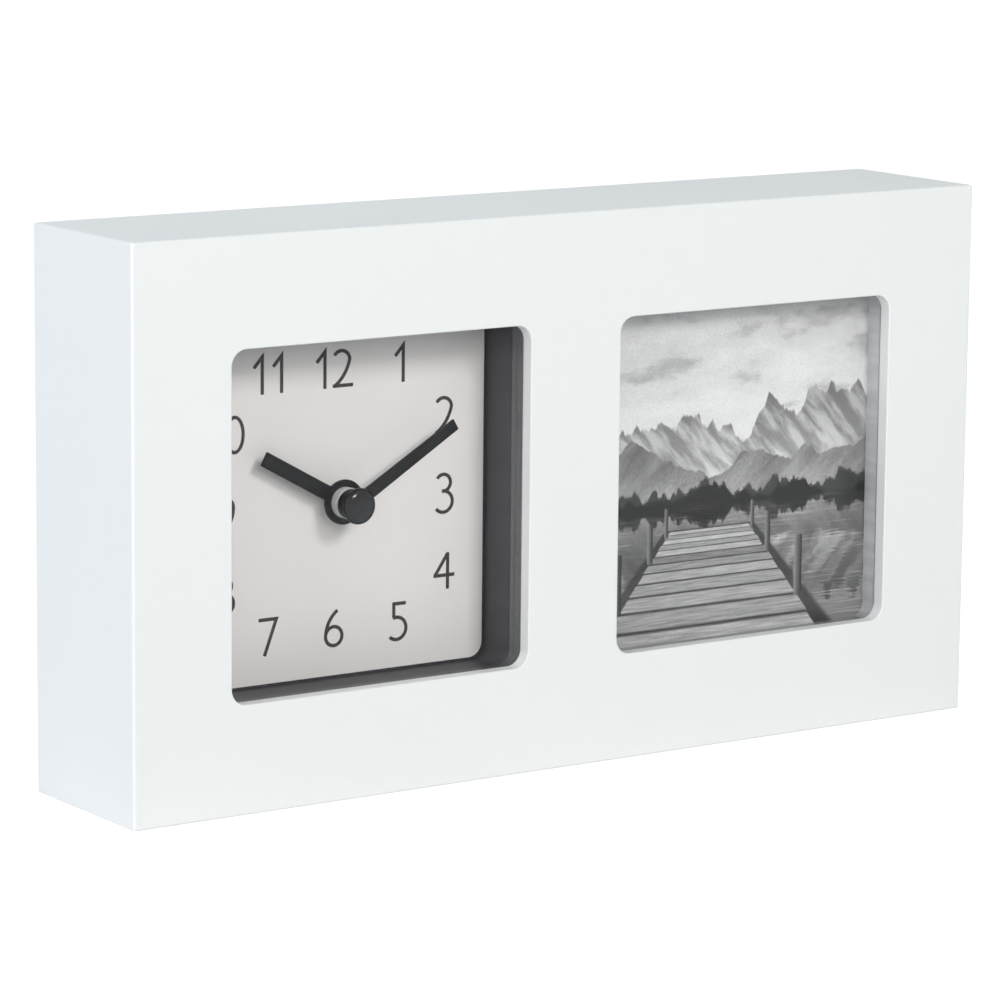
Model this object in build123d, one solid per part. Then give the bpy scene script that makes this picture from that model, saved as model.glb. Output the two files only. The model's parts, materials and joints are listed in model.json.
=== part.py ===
from build123d import *
import math
import os

# A table clock and photo frame in one white box, all sizes in millimetres.
# X runs along the front, Z is up, and the front face looks along -Y.
# A depth is counted from the front face towards the back.

# the print on the photo side, which both windows are sized for
print_size = 76.2
print_lap = 1.35
print_t = 0.3

# outer box and its two windows
border = 23.25
body_depth = 40.5
panel_t = 3.0
window_r = 3.5
edge_r = 0.6
window_edge_r = 0.3
rebate_w = 9.0
back_t = 3.0
movement_gap = 3.0
back_inset = 0.3
rebate_gap = 0.2
overrun = 1.0
slide_gap = 0.3
fit_gap = 0.3

# screws of the back panel
screw_r = 1.5
screw_len = 13.0
screw_head_r = 2.8
screw_head_h = 1.6
screw_slot_w = 0.7
screw_slot_h = 0.9

# clear trays and the dark sleeves behind them, each a lap larger than the window
tray_lap = 0.75
tray_r = 3.3
tray_wall = 1.2
tray_plate_t = 1.2
tray_depth = 5.2
sleeve_lap = 1.75
sleeve_wall = 1.5
sleeve_len = 11.3
sleeve_flange_t = 1.5
sleeve_flange_w = 1.6
sleeve_gap = 0.2
photo_sleeve_r = 1.0

# dial
dial_t = 0.4
dial_gap = 0.6
plate_t = 1.6
ink_t = 0.1
numeral_h = 8.2
numeral_stroke = 0.75
numeral_row_edge = 8.95
numeral_column_edge = 8.85
numeral_left_shift = 1.1
numeral_row_step_share = 0.5863
numeral_column_step_share = 0.6064
numeral_column_drop = 1.15
block_size = 10.0
block_gap = 1.0

# hands, with depths counted forward from the dial
hour_hand_short = 7.0
hour_hand_w = 3.2
hour_hand_t = 0.6
hour_hand_lift = 3.6
hour_ring_r = 4.8
hour_ring_t = 0.6
minute_hand_edge = 7.25
minute_hand_w = 2.9
minute_hand_tip_w = 2.5
minute_hand_t = 0.5
hub_r = 3.2
hub_len = 1.2
hub_gap = 0.3
cap_r = 3.9
cap_len = 3.0
cap_head_len = 1.7
cap_neck_r = 3.1
cap_dome = 1.2
cap_wall = 0.8
hour_angle = 298.9
minute_angle = 59.3

# movement case, with the room that it leaves round what it holds
contact_room = 2.2
train_room = 10.8
coil_rise = 1.54
coil_room = 1.6
case_r = 3.0
shell_t = 1.2
front_shell_t = 6.0
neck_r = 3.6
neck_gap = 0.1
dial_hole_gap = 0.12
pipe_r = 2.4
bush_r = 3.3
pipe_len = 2.0
arbor_r = 1.3
running_gap = 0.06
pivot_r = 0.5
pivot_len = 0.8
stem_r = 0.8
boss_wall = 0.75
arm_w = 10.0
arm_t = 1.2
arm_lip = 0.9

# wheels of the movement
wheel_gap = 0.4
wheel_t = 1.0
train_t = 0.7
motion_module = 0.36
centre_module = 0.24
third_module = 0.18
cannon_teeth = 12
minute_teeth = 36
minute_pinion_teeth = 10
hour_teeth = 40
centre_teeth = 60
third_pinion_teeth = 8
third_teeth = 72
rotor_pinion_teeth = 6
minute_wheel_angle = 150.0
third_wheel_angle = 35.0
rotor_angle = 60.0
tooth_root_share = 0.27
tooth_tip_share = 0.10
addendum_share = 0.72
dedendum_share = 1.05

# motor and circuit
rotor_r = 2.6
rotor_t = 2.2
rotor_hole_gap = 0.6
stator_t = 0.8
stator_w = 9.0
stator_leg_w = 5.0
coil_r = 3.4
coil_len = 24.0
coil_core_w = 3.6
flange_r = 4.2
flange_t = 1.0
board_t = 0.8
board_w = 10.0
board_top_gap = 3.6
board_arm_h = 7.0
board_edge_gap = 0.4
crystal_r = 1.0
crystal_len = 6.0
chip_size = 5.0
chip_t = 1.1

# set knob
knob_r = 5.0
knob_len = 2.8
knob_gap = 0.3
knob_notch_r = 0.45
knob_notches = 24

# battery, an AA cell
battery_r = 7.1
battery_len = 49.2
battery_nub_r = 2.7
battery_nub_len = 1.0
battery_edge_r = 0.8
bay_gap = 0.3
contact_t = 0.3
contact_w = 8.0
contact_tail_w = 2.4

# card, foam and door behind the print
backing_t = 1.5
pusher_side = 5.1
pusher_end = 10.1
door_lap = 2.6
door_r = 2.0
notch_r = 8.0

# outer box, worked out from the print
window = print_size - 2 * print_lap
body_width = 2 * window + 3 * border
body_height = window + 2 * border
front_y = -body_depth / 2
cell_x = (window + border) / 2
cell_z = body_height / 2
clock_x = -cell_x
photo_x = cell_x
shaft = (clock_x, cell_z)
back_front = body_depth - back_inset - back_t

# trays and sleeves, and the pocket that the rails leave for them
tray_inner = window + 2 * tray_lap
tray_outer = tray_inner + 2 * tray_wall
tray_back = panel_t + tray_depth
sleeve_inner = window + 2 * sleeve_lap
sleeve_outer = sleeve_inner + 2 * sleeve_wall
photo_sleeve_inner = tray_outer + 2 * sleeve_gap
photo_sleeve_outer = photo_sleeve_inner + 2 * sleeve_wall
pocket = photo_sleeve_outer + 2 * sleeve_flange_w
pad_size = pocket - 2 * fit_gap
rail_t = border - (pocket - window) / 2

# photo side
pusher_front = tray_back + print_t + backing_t + slide_gap
pusher_w = print_size - 2 * pusher_side
pusher_h = print_size - 2 * pusher_end
door_size = print_size + 2 * door_lap

# dial and hands
dial_front = tray_back + sleeve_len
plate_front = dial_front + dial_t
case_front = plate_front + plate_t
numeral_row = window / 2 - numeral_row_edge
numeral_column = window / 2 - numeral_column_edge
minute_hand_len = window / 2 - minute_hand_edge
hour_hand_len = minute_hand_len - hour_hand_short
hour_ring_back = dial_front - hour_hand_lift
hour_ring_front = hour_ring_back - hour_ring_t
pipe_front = hour_ring_front - pipe_len
hub_back = pipe_front - hub_gap
hub_front = hub_back - hub_len
cap_back = hub_front - minute_hand_t
cap_front = cap_back - cap_len

# layers inside the movement, front to back
case_inner_front = case_front + shell_t
hour_wheel_front = case_inner_front + wheel_gap
hour_wheel_back = hour_wheel_front + wheel_t
minute_wheel_front = hour_wheel_back + wheel_gap
minute_wheel_back = minute_wheel_front + wheel_t
centre_wheel_front = minute_wheel_back + 2 * wheel_gap
centre_wheel_back = centre_wheel_front + train_t
third_wheel_front = centre_wheel_back + 2 * wheel_gap
third_wheel_back = third_wheel_front + train_t
rotor_front = third_wheel_back + wheel_gap
rotor_back = rotor_front + rotor_t
stator_front = rotor_front + (rotor_t - stator_t) / 2
stator_back = stator_front + stator_t
core_back = stator_back + stator_t
coil_depth = (stator_back + core_back) / 2
case_inner_back = coil_depth + flange_r + wheel_gap
case_back = case_inner_back + shell_t
case_split = case_front + front_shell_t
board_front = minute_wheel_back + wheel_gap
board_back = board_front + board_t
battery_depth = case_inner_front + bay_gap + battery_r
knob_front = case_back + knob_gap

# wheel centres, from the shaft in the middle of the dial
motion_distance = motion_module * (hour_teeth + minute_pinion_teeth) / 2
cannon_module = 2 * motion_distance / (cannon_teeth + minute_teeth)
centre_distance = centre_module * (centre_teeth + third_pinion_teeth) / 2
third_distance = third_module * (third_teeth + rotor_pinion_teeth) / 2


def polar(centre, distance, angle):
    turn = math.radians(angle)
    return (centre[0] + distance * math.cos(turn), centre[1] + distance * math.sin(turn))


minute_wheel_at = polar(shaft, motion_distance, minute_wheel_angle)
third_wheel_at = polar(shaft, centre_distance, third_wheel_angle)
rotor_at = polar(third_wheel_at, third_distance, rotor_angle)

# movement case round the battery below, the train in the middle and the coil above
coil_z = rotor_at[1] + stator_w / 2 + coil_rise + flange_r
case_inner = battery_len + 2 * contact_room
case_w = case_inner + 2 * shell_t
case_ceiling = coil_z + flange_r + coil_room
case_top = case_ceiling + shell_t
bay_wall_high = cell_z - train_room
bay_wall_low = bay_wall_high - shell_t
battery_z = bay_wall_low - bay_gap - battery_r
case_floor = battery_z - battery_r - bay_gap
case_bottom = case_floor - shell_t
board_top = case_ceiling - board_top_gap


# A flat shape drawn in X and Z, made solid between two depths.
def prism(shape, front, back):
    plane = Plane(origin=(0, front_y + back, 0), x_dir=(1, 0, 0), z_dir=(0, -1, 0))
    return extrude(plane * shape, amount=back - front, dir=(0, -1, 0))


def disc(centre, radius):
    return Pos(*centre) * Circle(radius)


def square(centre, size, radius=0):
    shape = RectangleRounded(size, size, radius) if radius else Rectangle(size, size)
    return Pos(*centre) * shape


def rectangle(low, high):
    centre = ((low[0] + high[0]) / 2, (low[1] + high[1]) / 2)
    return Pos(*centre) * Rectangle(high[0] - low[0], high[1] - low[1])


def rod(centre, radius, front, back):
    return prism(disc(centre, radius), front, back)


# A cone along the depth, wider or narrower at its back.
def taper(centre, front_radius, back_radius, front, back):
    middle = front_y + (front + back) / 2
    place = Location((centre[0], middle, centre[1]), (-90, 0, 0))
    return place * Cone(front_radius, back_radius, back - front)


# Body: boards cut from one eased block, so that their painted faces run on without a step.
def body_block():
    block = Pos(0, 0, cell_z) * Box(body_width, body_depth, body_height)
    return fillet(block.edges(), edge_r)


def screw_places():
    inset = (rebate_w + rail_t) / 2
    side = body_width / 2 - inset
    return [(x, z) for x in (-side, 0, side) for z in (inset, body_height - inset)]


def screw_shapes():
    head_front = back_front + back_t - screw_head_h
    head_back = back_front + back_t
    shanks = [rod(at, screw_r, head_back - screw_len, head_front) for at in screw_places()]
    heads = [taper(at, screw_r, screw_head_r, head_front, head_back) for at in screw_places()]
    return shanks, heads


def front_panel(block):
    panel = block & prism(square((0, cell_z), 2 * body_width), -overrun, panel_t)
    for x in (clock_x, photo_x):
        panel -= prism(square((x, cell_z), window, window_r), -overrun, panel_t + overrun)
    rims = [
        edge
        for edge in panel.edges()
        if abs(edge.center().Y - front_y) < window_edge_r / 2
        and abs(abs(edge.center().X) - cell_x) < window / 2 + window_edge_r
        and abs(edge.center().Z - cell_z) < window / 2 + window_edge_r
    ]
    return fillet(rims, window_edge_r)


def rail_outlines():
    x, z = body_width / 2, body_height
    t = rail_t
    o = overrun
    return {
        "top_rail": [(-x - o, z + o), (x + o, z + o), (x - t, z - t), (-x + t, z - t)],
        "bottom_rail": [(-x - o, -o), (x + o, -o), (x - t, t), (-x + t, t)],
        "left_rail": [(-x - o, -o), (-x + t, t), (-x + t, z - t), (-x - o, z + o)],
        "right_rail": [(x + o, -o), (x - t, t), (x - t, z - t), (x + o, z + o)],
    }


def rails(block):
    rebate = rectangle(
        (-body_width / 2 + rebate_w, rebate_w),
        (body_width / 2 - rebate_w, body_height - rebate_w),
    )
    seat = prism(rebate, back_front, body_depth + overrun)
    shanks, heads = screw_shapes()
    made = {}
    for name, outline in rail_outlines().items():
        rail = block & prism(Polygon(*outline, align=None), panel_t, body_depth + overrun)
        rail -= seat
        for shank in shanks:
            rail -= shank
        made[name] = rail
    return made


def centre_divider():
    half = cell_x - pocket / 2
    shape = rectangle((-half, rail_t), (half, body_height - rail_t))
    return prism(shape, panel_t, back_front)


def back_panel():
    edge = rebate_w + rebate_gap
    shape = rectangle(
        (-body_width / 2 + edge, edge), (body_width / 2 - edge, body_height - edge)
    )
    shape -= case_outline(movement_gap)
    shape -= square((photo_x, cell_z), door_size + 2 * slide_gap, door_r)
    panel = prism(shape, back_front, back_front + back_t)
    shanks, heads = screw_shapes()
    for cutter in shanks + heads:
        panel -= cutter
    return panel


def back_screws():
    shanks, heads = screw_shapes()
    head_back = back_front + back_t
    slot = screw_head_r * 4 / 3
    cross = Rectangle(slot, screw_slot_w) + Rectangle(screw_slot_w, slot)
    screws = []
    for at, shank, head in zip(screw_places(), shanks, heads):
        recess = prism(Pos(*at) * cross, head_back - screw_slot_h, head_back + overrun)
        screws.append(shank + head - recess)
    return Compound(children=screws)


# Clear tray: a plate behind the window with a short skirt, alike on both sides.
def lens(x):
    centre = (x, cell_z)
    outer_r = tray_r + tray_wall
    skirt = square(centre, tray_outer, outer_r) - square(centre, tray_inner, tray_r)
    plate = prism(square(centre, pad_size), panel_t, panel_t + tray_plate_t)
    return plate + prism(skirt, panel_t + tray_plate_t, tray_back)


# Dark sleeve from the tray back to the plate, with a flange that centres it in its pocket.
def clock_sleeve():
    hole = square(shaft, sleeve_inner, tray_r)
    wall = square(shaft, sleeve_outer, tray_r + sleeve_wall) - hole
    flange = square(shaft, pad_size) - hole
    tube = prism(wall, tray_back, plate_front)
    return tube + prism(flange, plate_front - sleeve_flange_t, plate_front)


def photo_sleeve():
    centre = (photo_x, cell_z)
    hole = square(centre, photo_sleeve_inner, photo_sleeve_r)
    wall = square(centre, photo_sleeve_outer, photo_sleeve_r + sleeve_wall) - hole
    flange = square(centre, pad_size) - hole
    tube = prism(wall, panel_t + tray_plate_t, back_front)
    return tube + prism(flange, back_front - sleeve_flange_t, back_front)


# Numerals: strokes on a cell as tall as the numeral, in shares of its height.
numeral_stroke_shares = {
    "0": [[("ring", (0.30, 0.50), (0.25, 0.45))]],
    "1": [[("line", (0.02, 0.69), (0.27, 0.96)), ("line", (0.27, 0.96), (0.27, 0.0))]],
    "2": [
        [("arc", (0.05, 0.84), (0.29, 0.95), (0.51, 0.72))],
        [("arc", (0.51, 0.73), (0.42, 0.47), (0.06, 0.05))],
        [("line", (0.0, 0.05), (0.61, 0.05))],
    ],
    "3": [
        [("arc", (0.07, 0.89), (0.48, 0.76), (0.22, 0.545))],
        [("arc", (0.22, 0.545), (0.54, 0.27), (0.04, 0.09))],
    ],
    "4": [
        [("line", (0.45, 0.0), (0.45, 0.97))],
        [("line", (0.45, 0.95), (0.05, 0.37))],
        [("line", (0.01, 0.37), (0.66, 0.37))],
    ],
    "5": [
        [("line", (0.51, 0.95), (0.14, 0.95)), ("line", (0.14, 0.95), (0.14, 0.58))],
        [("arc", (0.12, 0.57), (0.52, 0.31), (0.02, 0.08))],
    ],
    "6": [[("arc", (0.42, 0.97), (0.15, 0.66), (0.06, 0.31))], [("ring", (0.31, 0.30), (0.25, 0.25))]],
    "7": [[("line", (0.0, 0.95), (0.53, 0.95)), ("line", (0.53, 0.95), (0.17, 0.0))]],
    "8": [[("ring", (0.30, 0.75), (0.19, 0.20))], [("ring", (0.30, 0.29), (0.25, 0.25))]],
    "9": [[("arc", (0.20, 0.03), (0.47, 0.34), (0.56, 0.69))], [("ring", (0.31, 0.70), (0.25, 0.25))]],
}
numeral_width_shares = {
    "0": 0.60, "1": 0.32, "2": 0.61, "3": 0.58, "4": 0.66,
    "5": 0.56, "6": 0.62, "7": 0.56, "8": 0.60, "9": 0.62,
}
numeral_gap_shares = {"10": 0.255, "11": 0.255, "12": 0.19}


def stroke_edge(kind, points):
    scaled = [(x * numeral_h, z * numeral_h) for x, z in points]
    return ThreePointArc(*scaled) if kind == "arc" else Line(*scaled)


def stroke_face(stroke):
    kind, *points = stroke[0]
    if kind == "ring":
        (x, z), (rx, rz) = [(a * numeral_h, b * numeral_h) for a, b in points]
        half = numeral_stroke / 2
        return Pos(x, z) * (Ellipse(rx + half, rz + half) - Ellipse(rx - half, rz - half))
    edges = [stroke_edge(kind, points) for kind, *points in stroke]
    return trace(edges, line_width=numeral_stroke)


def figure(text):
    widths = [numeral_width_shares[letter] * numeral_h for letter in text]
    gap = numeral_gap_shares.get(text, 0) * numeral_h
    x = -(sum(widths) + gap * (len(text) - 1)) / 2
    shape = Sketch()
    for letter, width in zip(text, widths):
        for stroke in numeral_stroke_shares[letter]:
            shape += Pos(x, -numeral_h / 2) * stroke_face(stroke)
        x += width + gap
    return shape


def numeral_places():
    row = numeral_row
    side = numeral_column
    left = numeral_left_shift - numeral_column
    across = row * numeral_row_step_share
    middle = -numeral_column_drop
    high = middle + side * numeral_column_step_share
    low = middle - side * numeral_column_step_share
    return {
        "12": (0, row), "1": (across, row), "2": (side, high), "3": (side, middle),
        "4": (side, low), "5": (across, -row), "6": (0, -row), "7": (-across, -row),
        "8": (left, low), "9": (left, middle), "10": (left, high), "11": (-across, row),
    }


def dial_numerals():
    solids = []
    for text, (x, z) in numeral_places().items():
        ink = prism(Pos(clock_x + x, cell_z + z) * figure(text), dial_front - ink_t, dial_front)
        solids += ink.solids()
    return Compound(children=solids)


# Card of the dial, a little smaller than the sleeve that it lies in.
def dial():
    card = square(shaft, sleeve_inner - 2 * dial_gap, tray_r) - disc(shaft, pipe_r + dial_hole_gap)
    return prism(card, dial_front, plate_front)


def arm_strip(near, far):
    low, high = sorted((near, far))
    return rectangle((clock_x - arm_w / 2, low), (clock_x + arm_w / 2, high))


# Plate behind the dial card, with two snap arms that grip the movement.
def dial_plate():
    card = square(shaft, pad_size) - disc(shaft, neck_r + neck_gap)
    plate = prism(card, plate_front, case_front)
    for side, near in ((-1, case_bottom), (1, case_top)):
        far = near + side * arm_t
        lip = near - side * arm_lip
        plate += prism(arm_strip(near, far), case_front, case_back + arm_t)
        plate += prism(arm_strip(lip, far), case_back, case_back + arm_t)
    return plate


# Blocks in the corners of the pocket, notched where the movement would come too close.
def corner_blocks():
    reach = (pocket - block_size) / 2
    blocks = []
    for sx in (-1, 1):
        for sz in (-1, 1):
            corner = square((clock_x + sx * reach, cell_z + sz * reach), block_size)
            blocks.append(prism(corner - case_outline(block_gap), case_front, back_front))
    return Compound(children=blocks)


# Teeth are plain trapezoids, narrower than half their pitch, so that meshed wheels run free.
def gear(centre, teeth, module, phase=0.0):
    pitch = 360 / teeth
    radius = module * teeth / 2
    tip = radius + addendum_share * module
    root = radius - dedendum_share * module
    reaches = (root, tip, tip, root)
    shares = (-tooth_root_share, -tooth_tip_share, tooth_tip_share, tooth_root_share)
    points = []
    for tooth in range(teeth):
        middle = phase + tooth * pitch
        for reach, share in zip(reaches, shares):
            points.append(polar(centre, reach, middle + share * pitch))
    return Polygon(*points, align=None)


# Phase that puts a wheel in mesh with one whose phase is known, seen along the line between them.
def mesh_phase(line_angle, teeth, phase, other_teeth):
    place = ((line_angle - phase) * teeth / 360) % 1
    return line_angle + 180 - (0.5 - place) * 360 / other_teeth


cannon_phase = 0.0
minute_wheel_phase = mesh_phase(minute_wheel_angle, cannon_teeth, cannon_phase, minute_teeth)
minute_pinion_phase = 0.0
hour_wheel_phase = mesh_phase(
    minute_wheel_angle + 180, minute_pinion_teeth, minute_pinion_phase, hour_teeth
)
centre_phase = 0.0
third_pinion_phase = mesh_phase(third_wheel_angle, centre_teeth, centre_phase, third_pinion_teeth)
third_phase = 0.0
rotor_pinion_phase = mesh_phase(rotor_angle, third_teeth, third_phase, rotor_pinion_teeth)


# A hand seen from the front, its angle turned clockwise from twelve.
def hand_bar(angle, start, length, width, tip_width):
    corners = [(-width / 2, start), (width / 2, start), (tip_width / 2, length), (-tip_width / 2, length)]
    return Pos(*shaft) * (Rot(0, 0, -angle) * Polygon(*corners, align=None))


def hour_hand():
    ring = disc(shaft, hour_ring_r) - disc(shaft, bush_r)
    start = (bush_r + hour_ring_r) / 2
    bar = hand_bar(hour_angle, start, hour_hand_len, hour_hand_w, hour_hand_w)
    bar -= disc(shaft, bush_r)
    hand = prism(ring, hour_ring_front, hour_ring_back)
    return hand + prism(bar, hour_ring_front, hour_ring_front + hour_hand_t)


def minute_hand():
    boss = prism(disc(shaft, hub_r), hub_front, hub_back)
    bar = hand_bar(minute_angle, 0, minute_hand_len, minute_hand_w, minute_hand_tip_w)
    blade = prism(bar + disc(shaft, hub_r), cap_back, hub_front)
    return boss + blade - rod(shaft, arbor_r, cap_back, hub_back)


# Cap on the minute hand: a rounded button on a narrower neck.
def hand_cap():
    button = rod(shaft, cap_r, cap_front, cap_front + cap_head_len)
    front_rim = button.edges().sort_by(Axis.Y)[0]
    cap = fillet(front_rim, cap_dome) + rod(shaft, cap_neck_r, cap_front + cap_head_len, cap_back)
    return cap - rod(shaft, arbor_r, cap_front + cap_wall, cap_back)


# Arbor through the hour pipe, carrying the cannon pinion and turning in the rear boss.
def minute_arbor():
    pinion = gear(shaft, cannon_teeth, cannon_module, cannon_phase)
    pivot_back = third_wheel_back + 2 * wheel_gap + pivot_len
    arbor = rod(shaft, arbor_r, cap_front + cap_wall, centre_wheel_back)
    arbor += prism(pinion, minute_wheel_front, minute_wheel_back)
    return arbor + rod(shaft, pivot_r, centre_wheel_back, pivot_back)


def centre_wheel():
    teeth = gear(shaft, centre_teeth, centre_module, centre_phase) - disc(shaft, arbor_r)
    return prism(teeth, centre_wheel_front, centre_wheel_back)


def hour_wheel():
    bore = disc(shaft, arbor_r + running_gap)
    teeth = gear(shaft, hour_teeth, motion_module, hour_wheel_phase) - bore
    pipe = prism(disc(shaft, pipe_r) - bore, pipe_front, hour_wheel_front)
    return pipe + prism(teeth, hour_wheel_front, hour_wheel_back)


# Bush pressed on the hour pipe in front of the dial, which carries the hour hand.
def hour_bush():
    return prism(disc(shaft, bush_r) - disc(shaft, pipe_r), pipe_front, hour_ring_back)


def minute_wheel():
    at = minute_wheel_at
    teeth = gear(at, minute_teeth, cannon_module, minute_wheel_phase)
    pinion = gear(at, minute_pinion_teeth, motion_module, minute_pinion_phase)
    pinion_front = hour_wheel_front - wheel_gap / 2
    wheel = prism(teeth, minute_wheel_front, minute_wheel_back)
    wheel += prism(pinion, pinion_front, minute_wheel_front)
    wheel += rod(at, pivot_r, case_inner_front - pivot_len, pinion_front)
    return wheel + rod(at, stem_r, minute_wheel_back, knob_front)


def third_wheel():
    at = third_wheel_at
    teeth = gear(at, third_teeth, third_module, third_phase)
    pinion = gear(at, third_pinion_teeth, centre_module, third_pinion_phase)
    pinion_front = centre_wheel_front - wheel_gap / 2
    wheel = prism(teeth, third_wheel_front, third_wheel_back)
    wheel += prism(pinion, pinion_front, third_wheel_front)
    wheel += rod(at, pivot_r, case_inner_front - pivot_len, pinion_front)
    return wheel + rod(at, pivot_r, third_wheel_back, third_wheel_back + 2 * wheel_gap + pivot_len)


def rotor():
    at = rotor_at
    pinion = gear(at, rotor_pinion_teeth, third_module, rotor_pinion_phase)
    pinion_front = third_wheel_front - wheel_gap / 2
    body = rod(at, rotor_r, rotor_front, rotor_back)
    body += prism(pinion, pinion_front, rotor_front)
    body += rod(at, pivot_r, case_inner_front - pivot_len, pinion_front)
    return body + rod(at, pivot_r, rotor_back, rotor_back + 2 * wheel_gap + pivot_len)


def set_knob():
    at = minute_wheel_at
    shape = disc(at, knob_r)
    for notch in range(knob_notches):
        shape -= disc(polar(at, knob_r, notch * 360 / knob_notches), knob_notch_r)
    return prism(shape, knob_front, knob_front + knob_len)


# Flat iron plate round the rotor, with legs up to the core that the coil is wound on.
def stator_left():
    return clock_x - coil_len / 2 - flange_t - stator_leg_w


def stator():
    low = rotor_at[1] - stator_w / 2
    high = rotor_at[1] + stator_w / 2
    left = stator_left()
    right = 2 * clock_x - left
    top = coil_z + coil_core_w / 2
    shape = rectangle((left, low), (right, high))
    shape += rectangle((left, low), (left + stator_leg_w, top))
    shape += rectangle((right - stator_leg_w, low), (right, top))
    shape -= disc(rotor_at, rotor_r + rotor_hole_gap)
    shape -= disc(minute_wheel_at, stem_r + boss_wall + running_gap)
    shape -= disc(third_wheel_at, pivot_r + boss_wall + 2 * running_gap)
    return prism(shape, stator_front, stator_back)


def coil_core(half_length):
    low = (clock_x - half_length, coil_z - coil_core_w / 2)
    high = (clock_x + half_length, coil_z + coil_core_w / 2)
    return prism(rectangle(low, high), stator_back, core_back)


# A round piece on the coil's own line, its middle at x.
def coil_round(x, radius, length):
    return Location((x, front_y + coil_depth, coil_z), (0, 90, 0)) * Cylinder(radius, length)


def coil_bobbin():
    bobbin = coil_core(clock_x - stator_left())
    for side in (-1, 1):
        bobbin += coil_round(clock_x + side * (coil_len + flange_t) / 2, flange_r, flange_t)
    return bobbin


def coil_winding():
    return coil_round(clock_x, coil_r, coil_len) - coil_core(coil_len)


def board_left():
    return clock_x - case_inner / 2 + board_edge_gap


def circuit_board():
    left = board_left()
    shape = rectangle((left, bay_wall_high), (left + board_w, board_top))
    arm_end = clock_x - coil_len / 2 - flange_t
    shape += rectangle((left, board_top - board_arm_h), (arm_end, board_top))
    return prism(shape, board_front, board_back)


def quartz_crystal():
    x = board_left() + board_w / 4
    z = (bay_wall_high + 2 * board_top) / 3
    return Pos(x, front_y + board_back + crystal_r, z) * Cylinder(crystal_r, crystal_len)


def timer_chip():
    centre = (board_left() + board_w / 2, (2 * bay_wall_high + board_top) / 3)
    return prism(square(centre, chip_size), board_back, board_back + chip_t)


# Rear bearing of a wheel: a boss from the back wall with a blind bore.
def rear_boss(at, radius, front, depth):
    boss = rod(at, radius + running_gap + boss_wall, front, case_inner_back)
    return boss - rod(at, radius + running_gap, front, front + depth)


# Outline of the movement case, or of the hole that leaves a gap round it.
def case_outline(gap=0):
    width = case_w + 2 * gap
    height = case_top - case_bottom + 2 * gap
    return Pos(clock_x, (case_top + case_bottom) / 2) * RectangleRounded(width, height, case_r)


# The case is hollow above and below the wall of the battery bay.
def upper_hollow():
    half = case_inner / 2
    return rectangle((clock_x - half, bay_wall_high), (clock_x + half, case_ceiling))


def battery_bay():
    half = case_inner / 2
    return rectangle((clock_x - half, case_floor), (clock_x + half, bay_wall_low))


def movement_case_front():
    case = prism(case_outline(), case_front, case_split)
    for hollow in (upper_hollow(), battery_bay()):
        case -= prism(hollow, case_inner_front, case_split + overrun)
    case += rod(shaft, neck_r, plate_front, case_front)
    case -= rod(shaft, pipe_r + running_gap, plate_front - overrun, case_inner_front + overrun)
    for at in (minute_wheel_at, third_wheel_at, rotor_at):
        case -= rod(at, pivot_r + running_gap, case_inner_front - pivot_len, case_inner_front)
    x = board_left() + board_w / 4
    for z in (bay_wall_high + board_arm_h / 2, board_top - board_arm_h / 2):
        case += rod((x, z), 2 * pivot_r, case_inner_front, board_front)
    for notch in contact_notches():
        case -= prism(notch, case_inner_front, case_split + overrun)
    return case


def movement_case_back():
    case = prism(case_outline(), case_split, case_back)
    case -= prism(upper_hollow(), case_split - overrun, case_inner_back)
    case -= prism(battery_bay(), case_split - overrun, case_back + overrun)
    front = third_wheel_back + 2 * wheel_gap
    case += rear_boss(shaft, pivot_r, front, pivot_len + wheel_gap)
    case += rear_boss(third_wheel_at, pivot_r, front, pivot_len + wheel_gap)
    case += rear_boss(rotor_at, pivot_r, rotor_back + 2 * wheel_gap, pivot_len + wheel_gap)
    case += rod(minute_wheel_at, stem_r + boss_wall, core_back, case_inner_back)
    case -= rod(minute_wheel_at, stem_r + running_gap, core_back - overrun, case_back + overrun)
    for notch in contact_notches():
        case -= prism(notch, case_split - overrun, battery_depth + contact_tail_w)
    return case


# Gaps in the bay wall through which the two contact strips reach the circuit board.
def contact_notches():
    low, high = bay_wall_low - overrun, bay_wall_high + overrun
    notches = []
    for side in (-1, 1):
        wall = clock_x + side * case_inner / 2
        near, far = sorted((wall, wall - side * (contact_t + running_gap)))
        notches.append(rectangle((near, low), (far, high)))
    return notches


# A bowed leaf at each end of the battery, on a flat strip that runs up to the circuit board.
def contact_leaf(side):
    wall = clock_x + side * case_inner / 2
    bulge = contact_room - slide_gap - contact_t
    if side > 0:
        bulge -= battery_nub_len
    middle = front_y + battery_depth
    inner = wall - side * contact_t
    low, high = middle - contact_w / 2, middle + contact_w / 2
    foot_low, foot_high = low + 2 * contact_t, high - 2 * contact_t
    crown = inner - side * (bulge - contact_t)
    edges = [
        ThreePointArc((inner, low), (crown - side * contact_t, middle), (inner, high)),
        Line((inner, high), (inner, foot_high)),
        ThreePointArc((inner, foot_high), (crown, middle), (inner, foot_low)),
        Line((inner, foot_low), (inner, low)),
    ]
    leaf = make_face(Wire([line.edge() for line in edges]))
    bottom = battery_z - contact_w / 2
    bowed = Pos(0, 0, bottom) * extrude(leaf, amount=contact_w, dir=(0, 0, 1))
    near, far = sorted((wall, inner))
    strip = rectangle((near, bottom), (far, bay_wall_high + contact_t))
    pad = rectangle((near, bottom), (far, bottom + contact_w))
    flat = prism(strip, battery_depth - contact_tail_w, battery_depth)
    return bowed + flat + prism(pad, battery_depth - contact_w / 2, battery_depth + contact_w / 2)


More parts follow.
